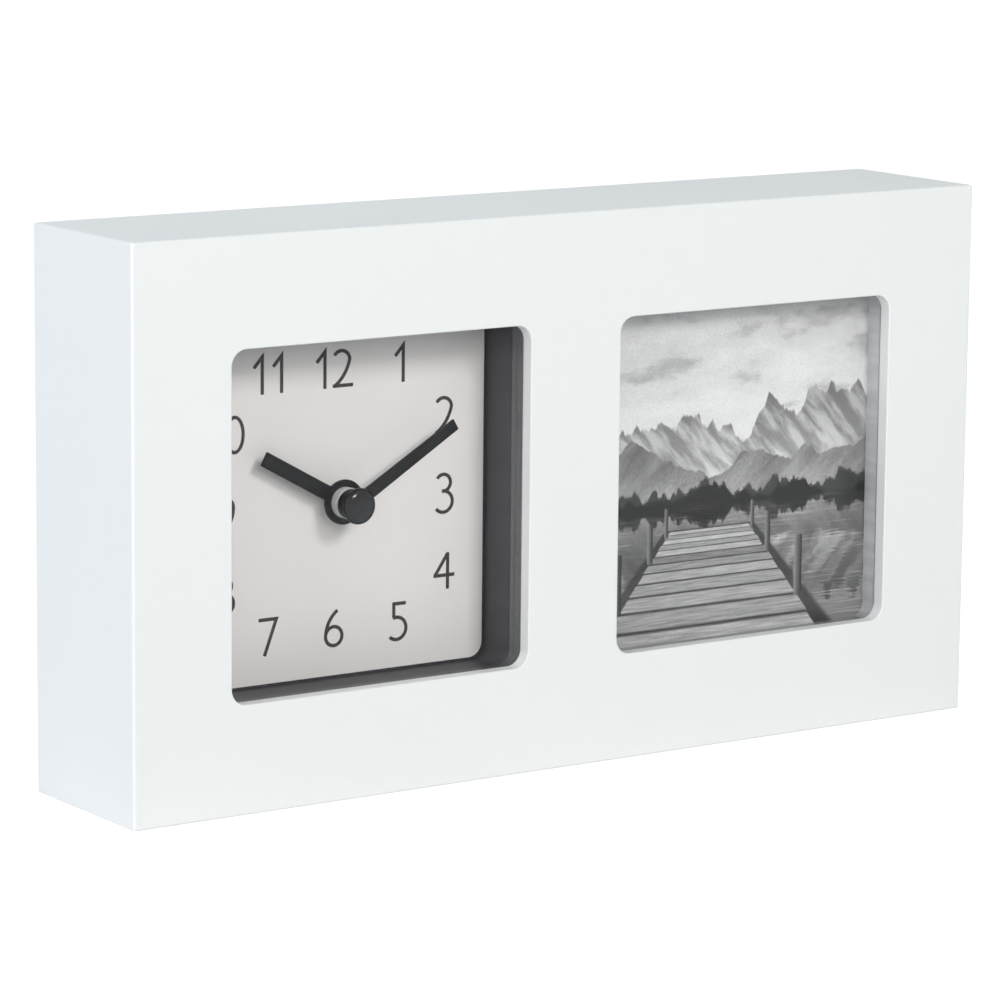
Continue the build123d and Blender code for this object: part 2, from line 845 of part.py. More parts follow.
def battery_contacts():
    left = contact_leaf(-1)
    wall = clock_x - case_inner / 2
    left += prism(
        rectangle((wall, bay_wall_high), (wall + board_edge_gap, bay_wall_high + contact_t)),
        board_front,
        battery_depth,
    )
    right = contact_leaf(1)
    run = rectangle(
        (board_left() + board_w - contact_tail_w, bay_wall_high),
        (clock_x + case_inner / 2, bay_wall_high + contact_t),
    )
    right += prism(run, board_back, board_back + contact_tail_w)
    return Compound(children=[left, right])


def battery():
    place = Location((clock_x, front_y + battery_depth, battery_z), (0, 90, 0))
    can = Cylinder(battery_r, battery_len)
    can = fillet(can.edges().filter_by(GeomType.CIRCLE), battery_edge_r)
    nub = Pos(0, 0, (battery_len + battery_nub_len) / 2) * Cylinder(battery_nub_r, battery_nub_len)
    return place * (can + nub)


# Photo side: print, card backing, and the door with its foam block.
def photo_print():
    return prism(square((photo_x, cell_z), print_size), tray_back, tray_back + print_t)


def photo_backing():
    front = tray_back + print_t
    return prism(square((photo_x, cell_z), print_size), front, front + backing_t)


def photo_pusher():
    low = (photo_x - pusher_w / 2, cell_z - pusher_h / 2)
    high = (photo_x + pusher_w / 2, cell_z + pusher_h / 2)
    return prism(rectangle(low, high), pusher_front, back_front + slide_gap)


def photo_door():
    shape = square((photo_x, cell_z), door_size, door_r)
    shape -= disc((photo_x, cell_z + door_size / 2), notch_r)
    return prism(shape, back_front + slide_gap, back_front + back_t)


def all_nodes():
    block = body_block()
    nodes = {"front_panel": front_panel(block)}
    nodes.update(rails(block))
    for make in (centre_divider, back_panel, back_screws, clock_sleeve, photo_sleeve):
        nodes[make.__name__] = make()
    nodes["clock_lens"] = lens(clock_x)
    nodes["photo_lens"] = lens(photo_x)
    for make in (dial, dial_numerals, dial_plate, corner_blocks, hour_bush, hour_hand, minute_hand, hand_cap):
        nodes[make.__name__] = make()
    for make in (movement_case_front, movement_case_back, minute_arbor, centre_wheel, hour_wheel):
        nodes[make.__name__] = make()
    for make in (minute_wheel, set_knob, third_wheel, rotor, stator, coil_bobbin, coil_winding):
        nodes[make.__name__] = make()
    for make in (circuit_board, quartz_crystal, timer_chip, battery_contacts, battery):
        nodes[make.__name__] = make()
    for make in (photo_print, photo_backing, photo_pusher, photo_door):
        nodes[make.__name__] = make()
    return nodes


os.makedirs("parts", exist_ok=True)
for node, shape in all_nodes().items():
    export_step(shape, "parts/" + node + ".step")
    print(node, "solids", len(shape.solids()), "volume", round(shape.volume, 1))
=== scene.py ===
import json
import math

import bpy
import bmesh
from mathutils import Matrix, Vector
from mathutils import noise as mathNoise


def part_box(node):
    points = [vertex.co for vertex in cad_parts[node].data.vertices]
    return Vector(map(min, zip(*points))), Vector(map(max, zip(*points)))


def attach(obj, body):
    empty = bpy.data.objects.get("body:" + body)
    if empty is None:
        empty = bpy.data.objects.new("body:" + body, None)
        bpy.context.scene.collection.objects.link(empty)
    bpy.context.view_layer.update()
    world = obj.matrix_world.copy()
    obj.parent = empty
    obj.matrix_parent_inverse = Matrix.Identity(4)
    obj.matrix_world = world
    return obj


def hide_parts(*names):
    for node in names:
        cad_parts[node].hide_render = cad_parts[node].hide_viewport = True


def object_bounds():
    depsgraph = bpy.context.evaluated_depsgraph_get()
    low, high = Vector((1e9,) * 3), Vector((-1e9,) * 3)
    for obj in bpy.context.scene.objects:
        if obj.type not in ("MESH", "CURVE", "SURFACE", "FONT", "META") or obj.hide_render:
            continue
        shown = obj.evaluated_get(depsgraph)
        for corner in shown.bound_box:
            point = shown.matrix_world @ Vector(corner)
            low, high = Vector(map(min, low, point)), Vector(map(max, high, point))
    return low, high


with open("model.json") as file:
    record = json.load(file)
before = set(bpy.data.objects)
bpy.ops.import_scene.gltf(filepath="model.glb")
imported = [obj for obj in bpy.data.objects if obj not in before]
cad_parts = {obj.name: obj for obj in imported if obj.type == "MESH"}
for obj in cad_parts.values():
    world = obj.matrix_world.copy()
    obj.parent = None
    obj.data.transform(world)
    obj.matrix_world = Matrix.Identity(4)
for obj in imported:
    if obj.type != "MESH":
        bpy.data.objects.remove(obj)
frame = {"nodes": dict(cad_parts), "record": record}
nodes = frame["nodes"]
mm = 0.001
alongX, alongY = 0, 1


def boxCorners():
    return [list(corner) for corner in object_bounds()]


def boxOf(node):
    low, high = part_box(node)
    return low, high, (low + high) / 2


cadBox = boxCorners()
print("frame loaded,", len(nodes), "nodes")


# Node helpers: a socket is linked, any other value is set on the input.
def addNode(tree, kind, sockets=None, **settings):
    node = tree.nodes.new(kind)
    for name, value in settings.items():
        setattr(node, name, value)
    for name, value in (sockets or {}).items():
        if isinstance(value, bpy.types.NodeSocket):
            tree.links.new(value, node.inputs[name])
        else:
            node.inputs[name].default_value = value
    return node


def calc(tree, operation, *values, clamp=False):
    sockets = dict(enumerate(values))
    return addNode(tree, "ShaderNodeMath", sockets, operation=operation, use_clamp=clamp).outputs[0]


def fromTo(tree, value, fromLow, fromHigh, toLow=0.0, toHigh=1.0, smooth=False):
    kind = "SMOOTHSTEP" if smooth else "LINEAR"
    sockets = {"Value": value, "From Min": fromLow, "From Max": fromHigh, "To Min": toLow, "To Max": toHigh}
    return addNode(tree, "ShaderNodeMapRange", sockets, interpolation_type=kind).outputs[0]


# Noise keeps mostly to its middle. This spreads that part over the whole of a range.
def spread(tree, wave, low=0.0, high=1.0):
    return fromTo(tree, wave, 0.3, 0.7, low, high)


def mixTone(tree, factor, low, high):
    return addNode(tree, "ShaderNodeMix", {0: factor, 2: low, 3: high}, data_type="FLOAT").outputs[0]


def mixColor(tree, factor, low, high):
    low, high = (color if isinstance(color, bpy.types.NodeSocket) else (*color, 1.0) for color in (low, high))
    return addNode(tree, "ShaderNodeMix", {0: factor, 6: low, 7: high}, data_type="RGBA").outputs[2]


def noise(tree, vector, scale, detail=2.0, roughness=0.5, stretch=None, turn=None):
    if stretch or turn:
        sockets = {"Vector": vector, "Scale": stretch or (1, 1, 1), "Rotation": turn or (0, 0, 0)}
        vector = addNode(tree, "ShaderNodeMapping", sockets).outputs[0]
    sockets = {"Vector": vector, "Scale": scale, "Detail": detail, "Roughness": roughness}
    return addNode(tree, "ShaderNodeTexNoise", sockets).outputs[0]


def bump(tree, height, distance, strength=1.0, normal=None):
    sockets = {"Height": height, "Distance": distance, "Strength": strength}
    if normal:
        sockets["Normal"] = normal
    return addNode(tree, "ShaderNodeBump", sockets).outputs[0]


def startMaterial(name):
    material = bpy.data.materials.new(name)
    material.use_nodes = True
    tree = material.node_tree
    tree.nodes.clear()
    place = addNode(tree, "ShaderNodeTexCoord").outputs["Object"]
    return material, tree, place


def finishMaterial(material, tree, shader):
    addNode(tree, "ShaderNodeOutputMaterial", {"Surface": shader})
    return material


def surface(material, tree, color, roughness, normal=None, gloss=0.5, metallic=0.0):
    sockets = {"Base Color": color, "Roughness": roughness, "Specular IOR Level": gloss, "Metallic": metallic}
    if normal:
        sockets["Normal"] = normal
    return finishMaterial(material, tree, addNode(tree, "ShaderNodeBsdfPrincipled", sockets).outputs[0])


# White lacquer of the box: satin, with a faint sprayed texture.
lacquer = {
    "pale": (0.880, 0.903, 0.888),
    "deep": (0.862, 0.885, 0.871),
    "roughness": (0.34, 0.44),
    "peelScale": 620.0,
    "peelDepth": 0.000012,
    "grainScale": 2600.0,
}


def whiteLacquer():
    material, tree, place = startMaterial("whiteLacquer")
    broad = noise(tree, place, 22.0, 3.0)
    peel = noise(tree, place, lacquer["peelScale"], 2.0, 0.4)
    grain = noise(tree, place, lacquer["grainScale"], 1.0)
    color = mixColor(tree, broad, lacquer["deep"], lacquer["pale"])
    roughness = spread(tree, broad, *lacquer["roughness"])
    normal = bump(tree, peel, lacquer["peelDepth"])
    normal = bump(tree, grain, lacquer["peelDepth"] / 6, 0.5, normal)
    return surface(material, tree, color, roughness, normal)


# Bare fibreboard: brown, with short fibres and darker flecks.
board = {
    "pale": (0.47, 0.34, 0.215),
    "deep": (0.30, 0.205, 0.122),
    "fleck": (0.13, 0.083, 0.05),
    "cloudScale": 70.0,
    "fibreScale": 900.0,
    "fibreStretch": (0.35, 1.0, 1.0),
    "fibreTurn": (0.2, 0.5, 0.3),
    "fibreCover": (0.35, 0.75, 0.0, 0.45),
    "fibreDepth": 0.00006,
    "fleckScale": 1500.0,
    "fleckCover": (0.66, 0.78, 0.0, 0.6),
    "roughness": 0.82,
}


def rawBoard():
    material, tree, place = startMaterial("rawBoard")
    cloud = noise(tree, place, board["cloudScale"], 4.0, 0.6)
    stretch, turn = board["fibreStretch"], board["fibreTurn"]
    fibre = noise(tree, place, board["fibreScale"], 3.0, 0.6, stretch=stretch, turn=turn)
    flecks = noise(tree, place, board["fleckScale"], 1.0)
    color = mixColor(tree, spread(tree, cloud), board["deep"], board["pale"])
    color = mixColor(tree, fromTo(tree, fibre, *board["fibreCover"]), color, board["pale"])
    color = mixColor(tree, fromTo(tree, flecks, *board["fleckCover"]), color, board["fleck"])
    normal = bump(tree, fibre, board["fibreDepth"])
    return surface(material, tree, color, board["roughness"], normal)


# Clear trays: light goes straight through and the gloss grows towards the edges.
# The skirts look milky, because they are drawn thin in the mould; walls that face up or down get less milk,
# as painted shade.
clear = {
    "faceGloss": 0.006,
    "rimGloss": 0.12,
    "rimPower": 4.0,
    "tint": (0.975, 0.975, 0.972),
    "hazeScale": 45.0,
    "gloss": (0.9, 0.93, 0.95),
    "roughness": 0.04,
    "milk": (0.86, 0.88, 0.90),
    "skirtMilk": {"clock_lens": 0.13, "photo_lens": 0.68},
    "paintedShadeMilk": 0.35,
    "unevenMilk": 0.12,
    "drawScale": 420.0,
    "drawStretch": (1.0, 0.05, 1.0),
}


def clearPlastic(node, name):
    material, tree, place = startMaterial(name)
    skirtMilk = clear["skirtMilk"][node]
    facing = addNode(tree, "ShaderNodeLayerWeight", {"Blend": 0.5}).outputs["Facing"]
    amount = calc(tree, "POWER", facing, clear["rimPower"])
    amount = calc(tree, "MULTIPLY_ADD", amount, clear["rimGloss"], clear["faceGloss"])
    haze = noise(tree, place, clear["hazeScale"], 2.0)
    tint = mixColor(tree, haze, clear["tint"], (1.0, 1.0, 1.0))
    through = addNode(tree, "ShaderNodeBsdfTransparent", {"Color": tint}).outputs[0]
    sockets = {"Color": (*clear["gloss"], 1.0), "Roughness": clear["roughness"]}
    shine = addNode(tree, "ShaderNodeBsdfAnisotropic", sockets).outputs[0]
    mix = addNode(tree, "ShaderNodeMixShader", {0: amount, 1: through, 2: shine}).outputs[0]
    normal = addNode(tree, "ShaderNodeTexCoord").outputs["Normal"]
    normal = addNode(tree, "ShaderNodeSeparateXYZ", {"Vector": normal})
    depthward = calc(tree, "ABSOLUTE", normal.outputs["Y"])
    upward = calc(tree, "ABSOLUTE", normal.outputs["Z"])
    draw = noise(tree, place, clear["drawScale"], 3.0, 0.6, stretch=clear["drawStretch"])
    least, most = skirtMilk * (1 - clear["unevenMilk"]), skirtMilk * (1 + clear["unevenMilk"])
    milk = mixTone(tree, spread(tree, draw), least, most)
    # Painted shade: walls that face up or down get less milk, so they read darker.
    milk = calc(tree, "MULTIPLY", milk, fromTo(tree, upward, 0.5, 1.0, 1.0, clear["paintedShadeMilk"]))
    milk = mixTone(tree, fromTo(tree, depthward, 0.3, 0.7), milk, 0.0)
    mist = addNode(tree, "ShaderNodeBsdfDiffuse", {"Color": (*clear["milk"], 1.0)}).outputs[0]
    mix = addNode(tree, "ShaderNodeMixShader", {0: milk, 1: mix, 2: mist}).outputs[0]
    return finishMaterial(material, tree, mix)


# Charcoal sleeve between tray and dial: moulded, with fine drag lines along its depth, and painted shade that
# darkens its colour towards the dial.
sleeve = {
    "pale": (0.061, 0.059, 0.068),
    "deep": (0.036, 0.035, 0.041),
    "paintedShadeFactor": 0.72,
    "paintedShadeReach": 0.6,
    "roughness": (0.42, 0.6),
    "dragScale": 500.0,
    "dragStretch": (1.0, 0.08, 1.0),
    "grainScale": 1400.0,
    "grainDepth": 0.00002,
}


def charcoalPlastic():
    material, tree, place = startMaterial("charcoalPlastic")
    drag = noise(tree, place, sleeve["dragScale"], 3.0, 0.6, stretch=sleeve["dragStretch"])
    grain = noise(tree, place, sleeve["grainScale"], 2.0)
    color = mixColor(tree, spread(tree, drag), sleeve["deep"], sleeve["pale"])
    # Painted shade: the colour darkens towards the back of the sleeve, next to the dial.
    low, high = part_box("clock_sleeve")
    depthward = addNode(tree, "ShaderNodeSeparateXYZ", {"Vector": place}).outputs["Y"]
    shade = fromTo(tree, depthward, low[1], high[1], 0.0, 1.0, smooth=True)
    dark = tuple(c * sleeve["paintedShadeFactor"] for c in sleeve["deep"])
    color = mixColor(tree, calc(tree, "MULTIPLY", shade, sleeve["paintedShadeReach"]), color, dark)
    roughness = spread(tree, grain, *sleeve["roughness"])
    normal = bump(tree, grain, sleeve["grainDepth"])
    return surface(material, tree, color, roughness, normal)


# Card of the dial, with its printed ink.
card = {
    "pale": (0.895, 0.868, 0.850),
    "deep": (0.872, 0.846, 0.828),
    "cloudCover": (0.35, 0.65, 0.55, 1.0),
    "roughness": 0.62,
    "gloss": 0.3,
    "ink": (0.045, 0.040, 0.040),
    "wornInk": (0.12, 0.11, 0.11),
    "wornCover": (0.3, 0.8, 0.0, 0.25),
    "inkRoughness": 0.55,
    "inkGloss": 0.25,
}


def dialCard():
    material, tree, place = startMaterial("dialCard")
    cloud = noise(tree, place, 60.0, 3.0)
    fibre = noise(tree, place, 1800.0, 3.0, 0.65)
    color = mixColor(tree, fromTo(tree, cloud, *card["cloudCover"]), card["deep"], card["pale"])
    normal = bump(tree, fibre, 0.00001, 0.6)
    return surface(material, tree, color, card["roughness"], normal, gloss=card["gloss"])


def dialInk():
    material, tree, place = startMaterial("dialInk")
    cover = noise(tree, place, 2400.0, 2.0)
    color = mixColor(tree, fromTo(tree, cover, *card["wornCover"]), card["ink"], card["wornInk"])
    return surface(material, tree, color, card["inkRoughness"], gloss=card["inkGloss"])


# Hands: stamped metal in satin black paint. Cap: glossy black moulding.
hands = {
    "paint": (0.006, 0.006, 0.007),
    "worn": (0.014, 0.014, 0.015),
    "roughness": (0.38, 0.5),
    "gloss": 0.18,
    "cap": (0.007, 0.007, 0.008),
    "capRoughness": (0.10, 0.17),
    "capGloss": 0.36,
}


def blackPaint():
    material, tree, place = startMaterial("blackPaint")
    cloud = noise(tree, place, 380.0, 3.0)
    speck = noise(tree, place, 3200.0, 1.0)
    color = mixColor(tree, fromTo(tree, cloud, 0.35, 0.7), hands["paint"], hands["worn"])
    roughness = spread(tree, cloud, *hands["roughness"])
    normal = bump(tree, speck, 0.000006)
    return surface(material, tree, color, roughness, normal, gloss=hands["gloss"])


def blackGloss():
    material, tree, place = startMaterial("blackGloss")
    cloud = noise(tree, place, 500.0, 2.0)
    color = mixColor(tree, cloud, hands["cap"], hands["paint"])
    roughness = spread(tree, cloud, *hands["capRoughness"])
    return surface(material, tree, color, roughness, gloss=hands["capGloss"])


# Black moulded plastic of the movement, spark-eroded texture.
moulding = {
    "pale": (0.045, 0.045, 0.048),
    "deep": (0.022, 0.022, 0.024),
    "roughness": (0.45, 0.62),
    "grainScale": 1700.0,
}


def casePlastic():
    material, tree, place = startMaterial("casePlastic")
    grain = noise(tree, place, moulding["grainScale"], 3.0, 0.6)
    cloud = noise(tree, place, 90.0, 2.0)
    color = mixColor(tree, cloud, moulding["deep"], moulding["pale"])
    roughness = spread(tree, grain, *moulding["roughness"])
    normal = bump(tree, grain, 0.00004)
    return surface(material, tree, color, roughness, normal)


# Colours of the plain looks, the deep one first.
plain = {
    "whitePlastic": ((0.78, 0.78, 0.75), (0.86, 0.86, 0.83)),
    "circuitBoard": ((0.24, 0.15, 0.06), (0.38, 0.26, 0.12)),
    "greyCard": ((0.33, 0.315, 0.295), (0.50, 0.48, 0.45)),
    "darkFoam": ((0.035, 0.035, 0.037), (0.10, 0.10, 0.105)),
}


def whitePlastic():
    material, tree, place = startMaterial("whitePlastic")
    cloud = noise(tree, place, 260.0, 2.0)
    color = mixColor(tree, cloud, *plain["whitePlastic"])
    normal = bump(tree, noise(tree, place, 2200.0, 2.0), 0.000008)
    return surface(material, tree, color, 0.42, normal)


# Metals share one recipe: a brushed or turned grain in the roughness and the bump.
metals = {
    "steel": {"pale": (0.62, 0.62, 0.63), "deep": (0.48, 0.48, 0.49), "roughness": (0.22, 0.38)},
    "zincSteel": {"pale": (0.60, 0.61, 0.60), "deep": (0.42, 0.43, 0.44), "roughness": (0.28, 0.48)},
    "brass": {"pale": (0.78, 0.60, 0.30), "deep": (0.62, 0.45, 0.19), "roughness": (0.22, 0.36)},
    "copperWire": {"pale": (0.66, 0.28, 0.12), "deep": (0.42, 0.14, 0.06), "roughness": (0.24, 0.36)},
}


def metal(name):
    values = metals[name]
    material, tree, place = startMaterial(name)
    grain = noise(tree, place, 900.0, 3.0, 0.6, stretch=(0.15, 1.0, 1.0))
    cloud = noise(tree, place, 240.0, 2.0)
    color = mixColor(tree, cloud, values["deep"], values["pale"])
    roughness = spread(tree, grain, *values["roughness"])
    normal = bump(tree, grain, 0.000006)
    return surface(material, tree, color, roughness, normal, metallic=1.0)


def circuitBoard():
    material, tree, place = startMaterial("circuitBoard")
    weave = noise(tree, place, 700.0, 2.0, stretch=(1.0, 1.0, 0.2))
    color = mixColor(tree, weave, *plain["circuitBoard"])
    normal = bump(tree, weave, 0.00002)
    return surface(material, tree, color, 0.5, normal)


def greyCard():
    material, tree, place = startMaterial("greyCard")
    fibre = noise(tree, place, 700.0, 4.0, 0.65)
    color = mixColor(tree, spread(tree, fibre), *plain["greyCard"])
    normal = bump(tree, fibre, 0.00004)
    return surface(material, tree, color, 0.85, normal)


def darkFoam():
    material, tree, place = startMaterial("darkFoam")
    cells = addNode(tree, "ShaderNodeTexVoronoi", {"Vector": place, "Scale": 1500.0}).outputs["Distance"]
    color = mixColor(tree, fromTo(tree, cells, 0.1, 0.6), *plain["darkFoam"])
    normal = bump(tree, cells, 0.00012)
    return surface(material, tree, color, 0.9, normal)


# Battery sleeve: plain satin blue-grey with a pale ring at its positive end, and no lettering.
wrap = {
    "main": (0.055, 0.105, 0.16),
    "band": (0.62, 0.64, 0.65),
    "bandWidth": 9.0 * mm,
    "edge": 0.25 * mm,
    "roughness": (0.24, 0.34),
}


def batterySleeve():
    material, tree, place = startMaterial("batterySleeve")
    axes = addNode(tree, "ShaderNodeSeparateXYZ", {"Vector": place})
    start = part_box("battery")[1].x - wrap["bandWidth"]
    band = fromTo(tree, axes.outputs["X"], start - wrap["edge"], start + wrap["edge"])
    cloud = noise(tree, place, 320.0, 2.0)
    main = mixColor(tree, cloud, wrap["main"], tuple(c * 1.15 for c in wrap["main"]))
    color = mixColor(tree, band, main, wrap["band"])
    roughness = spread(tree, cloud, *wrap["roughness"])
    normal = bump(tree, noise(tree, place, 900.0, 2.0, stretch=(0.1, 1.0, 1.0)), 0.00001)
    return surface(material, tree, color, roughness, normal)


# The picture behind the right window: a grey print of hills over a still lake, with a jetty.
# U and V run from -1 to 1 across the print and up it. Its tones are worked out as they look,
# from 0 black to 1 white, and made linear at the end.
def ridge(tree, u, scale, shift, base, height, detail):
    place = calc(tree, "ADD", u, shift)
    sockets = {"W": place, "Scale": scale, "Detail": detail, "Roughness": 0.52}
    wave = addNode(tree, "ShaderNodeTexNoise", sockets, noise_dimensions="1D").outputs[0]
    return calc(tree, "MULTIPLY_ADD", fromTo(tree, wave, 0.25, 0.75), height, base)


def flatNoise(tree, u, v, scaleU, scaleV, detail, shift=0.0):
    across = calc(tree, "MULTIPLY_ADD", u, scaleU, shift)
    upward = calc(tree, "MULTIPLY", v, scaleV)
    vector = addNode(tree, "ShaderNodeCombineXYZ", {"X": across, "Y": upward}).outputs[0]
    sockets = {"Vector": vector, "Scale": 1.0, "Detail": detail, "Roughness": 0.55}
    return addNode(tree, "ShaderNodeTexNoise", sockets, noise_dimensions="2D").outputs[0]


# Lays one row of land before what is behind it, up to its own height.
def landRow(tree, v, height, edge, behind, front):
    inside = calc(tree, "SUBTRACT", height, v)
    return mixTone(tree, fromTo(tree, inside, 0.0, edge), behind, front)


# A line is a ridge's scale, shift, base, height and detail. A pattern is a flat noise's two scales,
# its detail and its shift. Other groups of numbers are a range and what it becomes, or that alone.
sky = {
    "top": 0.84,
    "low": 1.0,
    "clouds": (1.7, 4.2, 7.0, 4.0),
    "lit": (0.48, 0.68, 0.0, 0.42),
    "litTone": 0.99,
    "shade": (0.30, 0.46, 0.30, 0.0),
    "shadeTone": 0.36,
}
mountains = {
    "line": (1.5, 2.3, 0.02, 0.62, 9.0),
    "lean": 0.8,
    "rock": (9.0, 4.0, 8.0),
    "snow": (0.40, 0.62, -0.04, 0.20),
    "haze": (0.45, 0.16, -0.12),
    "tone": 0.62,
    "edge": 0.012,
}
hills = {
    "line": (1.1, 7.7, -0.12, 0.36, 7.0),
    "lean": -0.9,
    "spurs": (5.0, 2.4, 6.0, 3.0),
    "spurTone": (-0.11, 0.09),
    "growth": (60.0, 46.0, 4.0),
    "growthTone": (-0.035, 0.03),
    "mist": (0.12, 0.22, 0.0),
    "tone": 0.50,
    "edge": 0.010,
}
woods = {
    "rows": ((5.3, 0.20, 0.07, 0.13), (13.1, 0.15, 0.05, 0.0)),
    "clumpScale": 1.9,
    "crownScale": 16.0,
    "sunk": 0.05,
    "leaves": (130.0, 90.0, 2.0),
    "ragged": (-0.012, 0.012),
    "tone": 0.12,
    "toneRange": (-0.05, 0.11),
    "edge": 0.008,
}
# Water: the land upside down, drawn out sideways by ripples and darker towards the viewer.
lake = {
    "waterline": -0.20,
    "shore": 0.006,
    "ripples": (5.0, 95.0, 3.0),
    "sway": (0.0, 0.8, 0.004, 0.06),
    "dimming": (0.0, 0.8, 0.88, 0.62),
    "streaks": (1.4, 60.0, 3.0, 8.0),
    "glints": (0.55, 0.75, 0.0, 0.16),
}


# Height of a wood above its shore: broad clumps with small, uneven crowns on top.
def woodLine(tree, u, shift, clump, crown):
    broad = ridge(tree, u, woods["clumpScale"], shift, 0.0, clump, 2.0)
    crowns = ridge(tree, u, woods["crownScale"], shift * 2, 0.0, crown, 3.0)
    return calc(tree, "ADD", broad, crowns)


# One tone for a point of the land or the sky; the water asks for it upside down.
def sceneryGroup():
    tree = bpy.data.node_groups.new("hillScenery", "ShaderNodeTree")
    for name in ("U", "V"):
        tree.interface.new_socket(name=name, in_out="INPUT", socket_type="NodeSocketFloat")
    tree.interface.new_socket(name="Tone", in_out="OUTPUT", socket_type="NodeSocketFloat")
    given = tree.nodes.new("NodeGroupInput")
    u, v = given.outputs["U"], given.outputs["V"]
    line = lake["waterline"]

    tone = fromTo(tree, v, line, 1.0, sky["low"], sky["top"])
    cloud = flatNoise(tree, u, v, *sky["clouds"])
    tone = mixTone(tree, fromTo(tree, cloud, *sky["lit"], smooth=True), tone, sky["litTone"])
    tone = mixTone(tree, fromTo(tree, cloud, *sky["shade"], smooth=True), tone, sky["shadeTone"])

    slope = calc(tree, "MULTIPLY_ADD", v, mountains["lean"], u)
    snow = fromTo(tree, flatNoise(tree, slope, v, *mountains["rock"]), *mountains["snow"])
    haze = fromTo(tree, v, line, *mountains["haze"])
    rock = calc(tree, "ADD", calc(tree, "ADD", haze, snow), mountains["tone"])
    tone = landRow(tree, v, ridge(tree, u, *mountains["line"]), mountains["edge"], tone, rock)

    slope = calc(tree, "MULTIPLY_ADD", v, hills["lean"], u)
    spur = spread(tree, flatNoise(tree, slope, v, *hills["spurs"]), *hills["spurTone"])
    growth = spread(tree, flatNoise(tree, u, v, *hills["growth"]), *hills["growthTone"])
    grass = calc(tree, "ADD", calc(tree, "ADD", spur, growth), hills["tone"])
    grass = calc(tree, "ADD", grass, fromTo(tree, v, line, *hills["mist"]))
    tone = landRow(tree, v, ridge(tree, u, *hills["line"]), hills["edge"], tone, grass)

    jag = flatNoise(tree, u, v, *woods["leaves"])
    ragged = spread(tree, jag, *woods["ragged"])
    for shift, clump, crown, shade in woods["rows"]:
        height = calc(tree, "ADD", woodLine(tree, u, shift, clump, crown), line - woods["sunk"])
        height = calc(tree, "ADD", height, ragged)
        tones = [woods["tone"] + shade + step for step in woods["toneRange"]]
        leaves = fromTo(tree, jag, 0.35, 0.75, *tones)
        tone = landRow(tree, v, height, woods["edge"], tone, leaves)

    addNode(tree, "NodeGroupOutput", {"Tone": tone})
    return tree


def useGroup(tree, group, u, v):
    return addNode(tree, "ShaderNodeGroup", {"U": u, "V": v}, node_tree=group).outputs["Tone"]


# A jetty seen along its length: everything on it narrows towards a point on the skyline.
jetty = {
    "skyline": 0.02,
    "vanishing": -0.16,
    "end": -0.34,
    "slope": 0.80,
    "ragged": 0.02,
    "planks": 6.5,
    "tone": (0.50, 0.80),
    "grain": (3.0, 9.0, 4.0),
    "grainTone": 0.10,
    "groove": 0.12,
    "grooveTone": 0.30,
    "edgeTone": 0.18,
    "shadowWidth": 1.16,
    "shadowDepth": 0.75,
    "posts": ((-0.36, 0.030, 0.16), (-0.50, 0.042, 0.22), (-0.78, 0.062, 0.34)),
    "postRow": 1.02,
    "postTone": (0.62, 0.16),
}


def jettyTone(tree, u, v, water):
    below = calc(tree, "MAXIMUM", calc(tree, "SUBTRACT", jetty["skyline"], v), 0.01)
    across = calc(tree, "DIVIDE", calc(tree, "SUBTRACT", u, jetty["vanishing"]), below)
    away = calc(tree, "ABSOLUTE", across)
    along = calc(tree, "DIVIDE", jetty["planks"], below)
    sockets = {"W": calc(tree, "FLOOR", along)}
    chance = addNode(tree, "ShaderNodeTexWhiteNoise", sockets, noise_dimensions="1D").outputs["Value"]
    tone = fromTo(tree, chance, 0.0, 1.0, *jetty["tone"])
    grain = flatNoise(tree, across, along, *jetty["grain"])
    grain = spread(tree, grain, -jetty["grainTone"], jetty["grainTone"])
    tone = calc(tree, "ADD", tone, grain)
    seam = calc(tree, "FRACT", along)
    groove = calc(tree, "MINIMUM", seam, calc(tree, "SUBTRACT", 1.0, seam))
    tone = calc(tree, "MULTIPLY", tone, fromTo(tree, groove, 0.0, jetty["groove"], jetty["grooveTone"], 1.0))

    ragged = fromTo(tree, chance, 0.0, 1.0, -jetty["ragged"], jetty["ragged"])
    edge = calc(tree, "SUBTRACT", jetty["slope"], calc(tree, "ADD", away, ragged))
    nearer = fromTo(tree, v, jetty["end"], jetty["end"] - 0.004)
    inside = calc(tree, "MULTIPLY", fromTo(tree, edge, 0.0, 0.01), nearer)
    shadow = calc(tree, "SUBTRACT", jetty["slope"] * jetty["shadowWidth"], away)
    nearer = fromTo(tree, v, jetty["end"] + 0.01, jetty["end"])
    under = calc(tree, "MULTIPLY", fromTo(tree, shadow, 0.0, 0.05), nearer)
    result = mixTone(tree, calc(tree, "MULTIPLY", under, jetty["shadowDepth"]), water, jetty["edgeTone"])
    result = mixTone(tree, inside, result, tone)

    for foot, width, tall in jetty["posts"]:
        half = width * 0.5
        apart = jetty["slope"] * (jetty["skyline"] - foot) * jetty["postRow"]
        for way in (-1, 1):
            aside = calc(tree, "SUBTRACT", u, jetty["vanishing"] + way * apart)
            trunk = fromTo(tree, calc(tree, "ABSOLUTE", aside), half, half - 0.004)
            body = calc(tree, "MULTIPLY", fromTo(tree, v, foot - 0.02, foot - 0.012), trunk)
            body = calc(tree, "MULTIPLY", body, fromTo(tree, v, foot + tall, foot + tall - 0.006))
            result = mixTone(tree, body, result, fromTo(tree, aside, -half, half, *jetty["postTone"]))
    return result


# Paper of the print: a fine grain, darker corners and a satin sheen.
paper = {
    "grain": 0.05,
    "grainScale": 5200.0,
    "corners": (0.2, 2.0, 1.0, 0.88),
    "sheenScale": 120.0,
    "roughness": (0.28, 0.36),
    "gloss": 0.3,
}


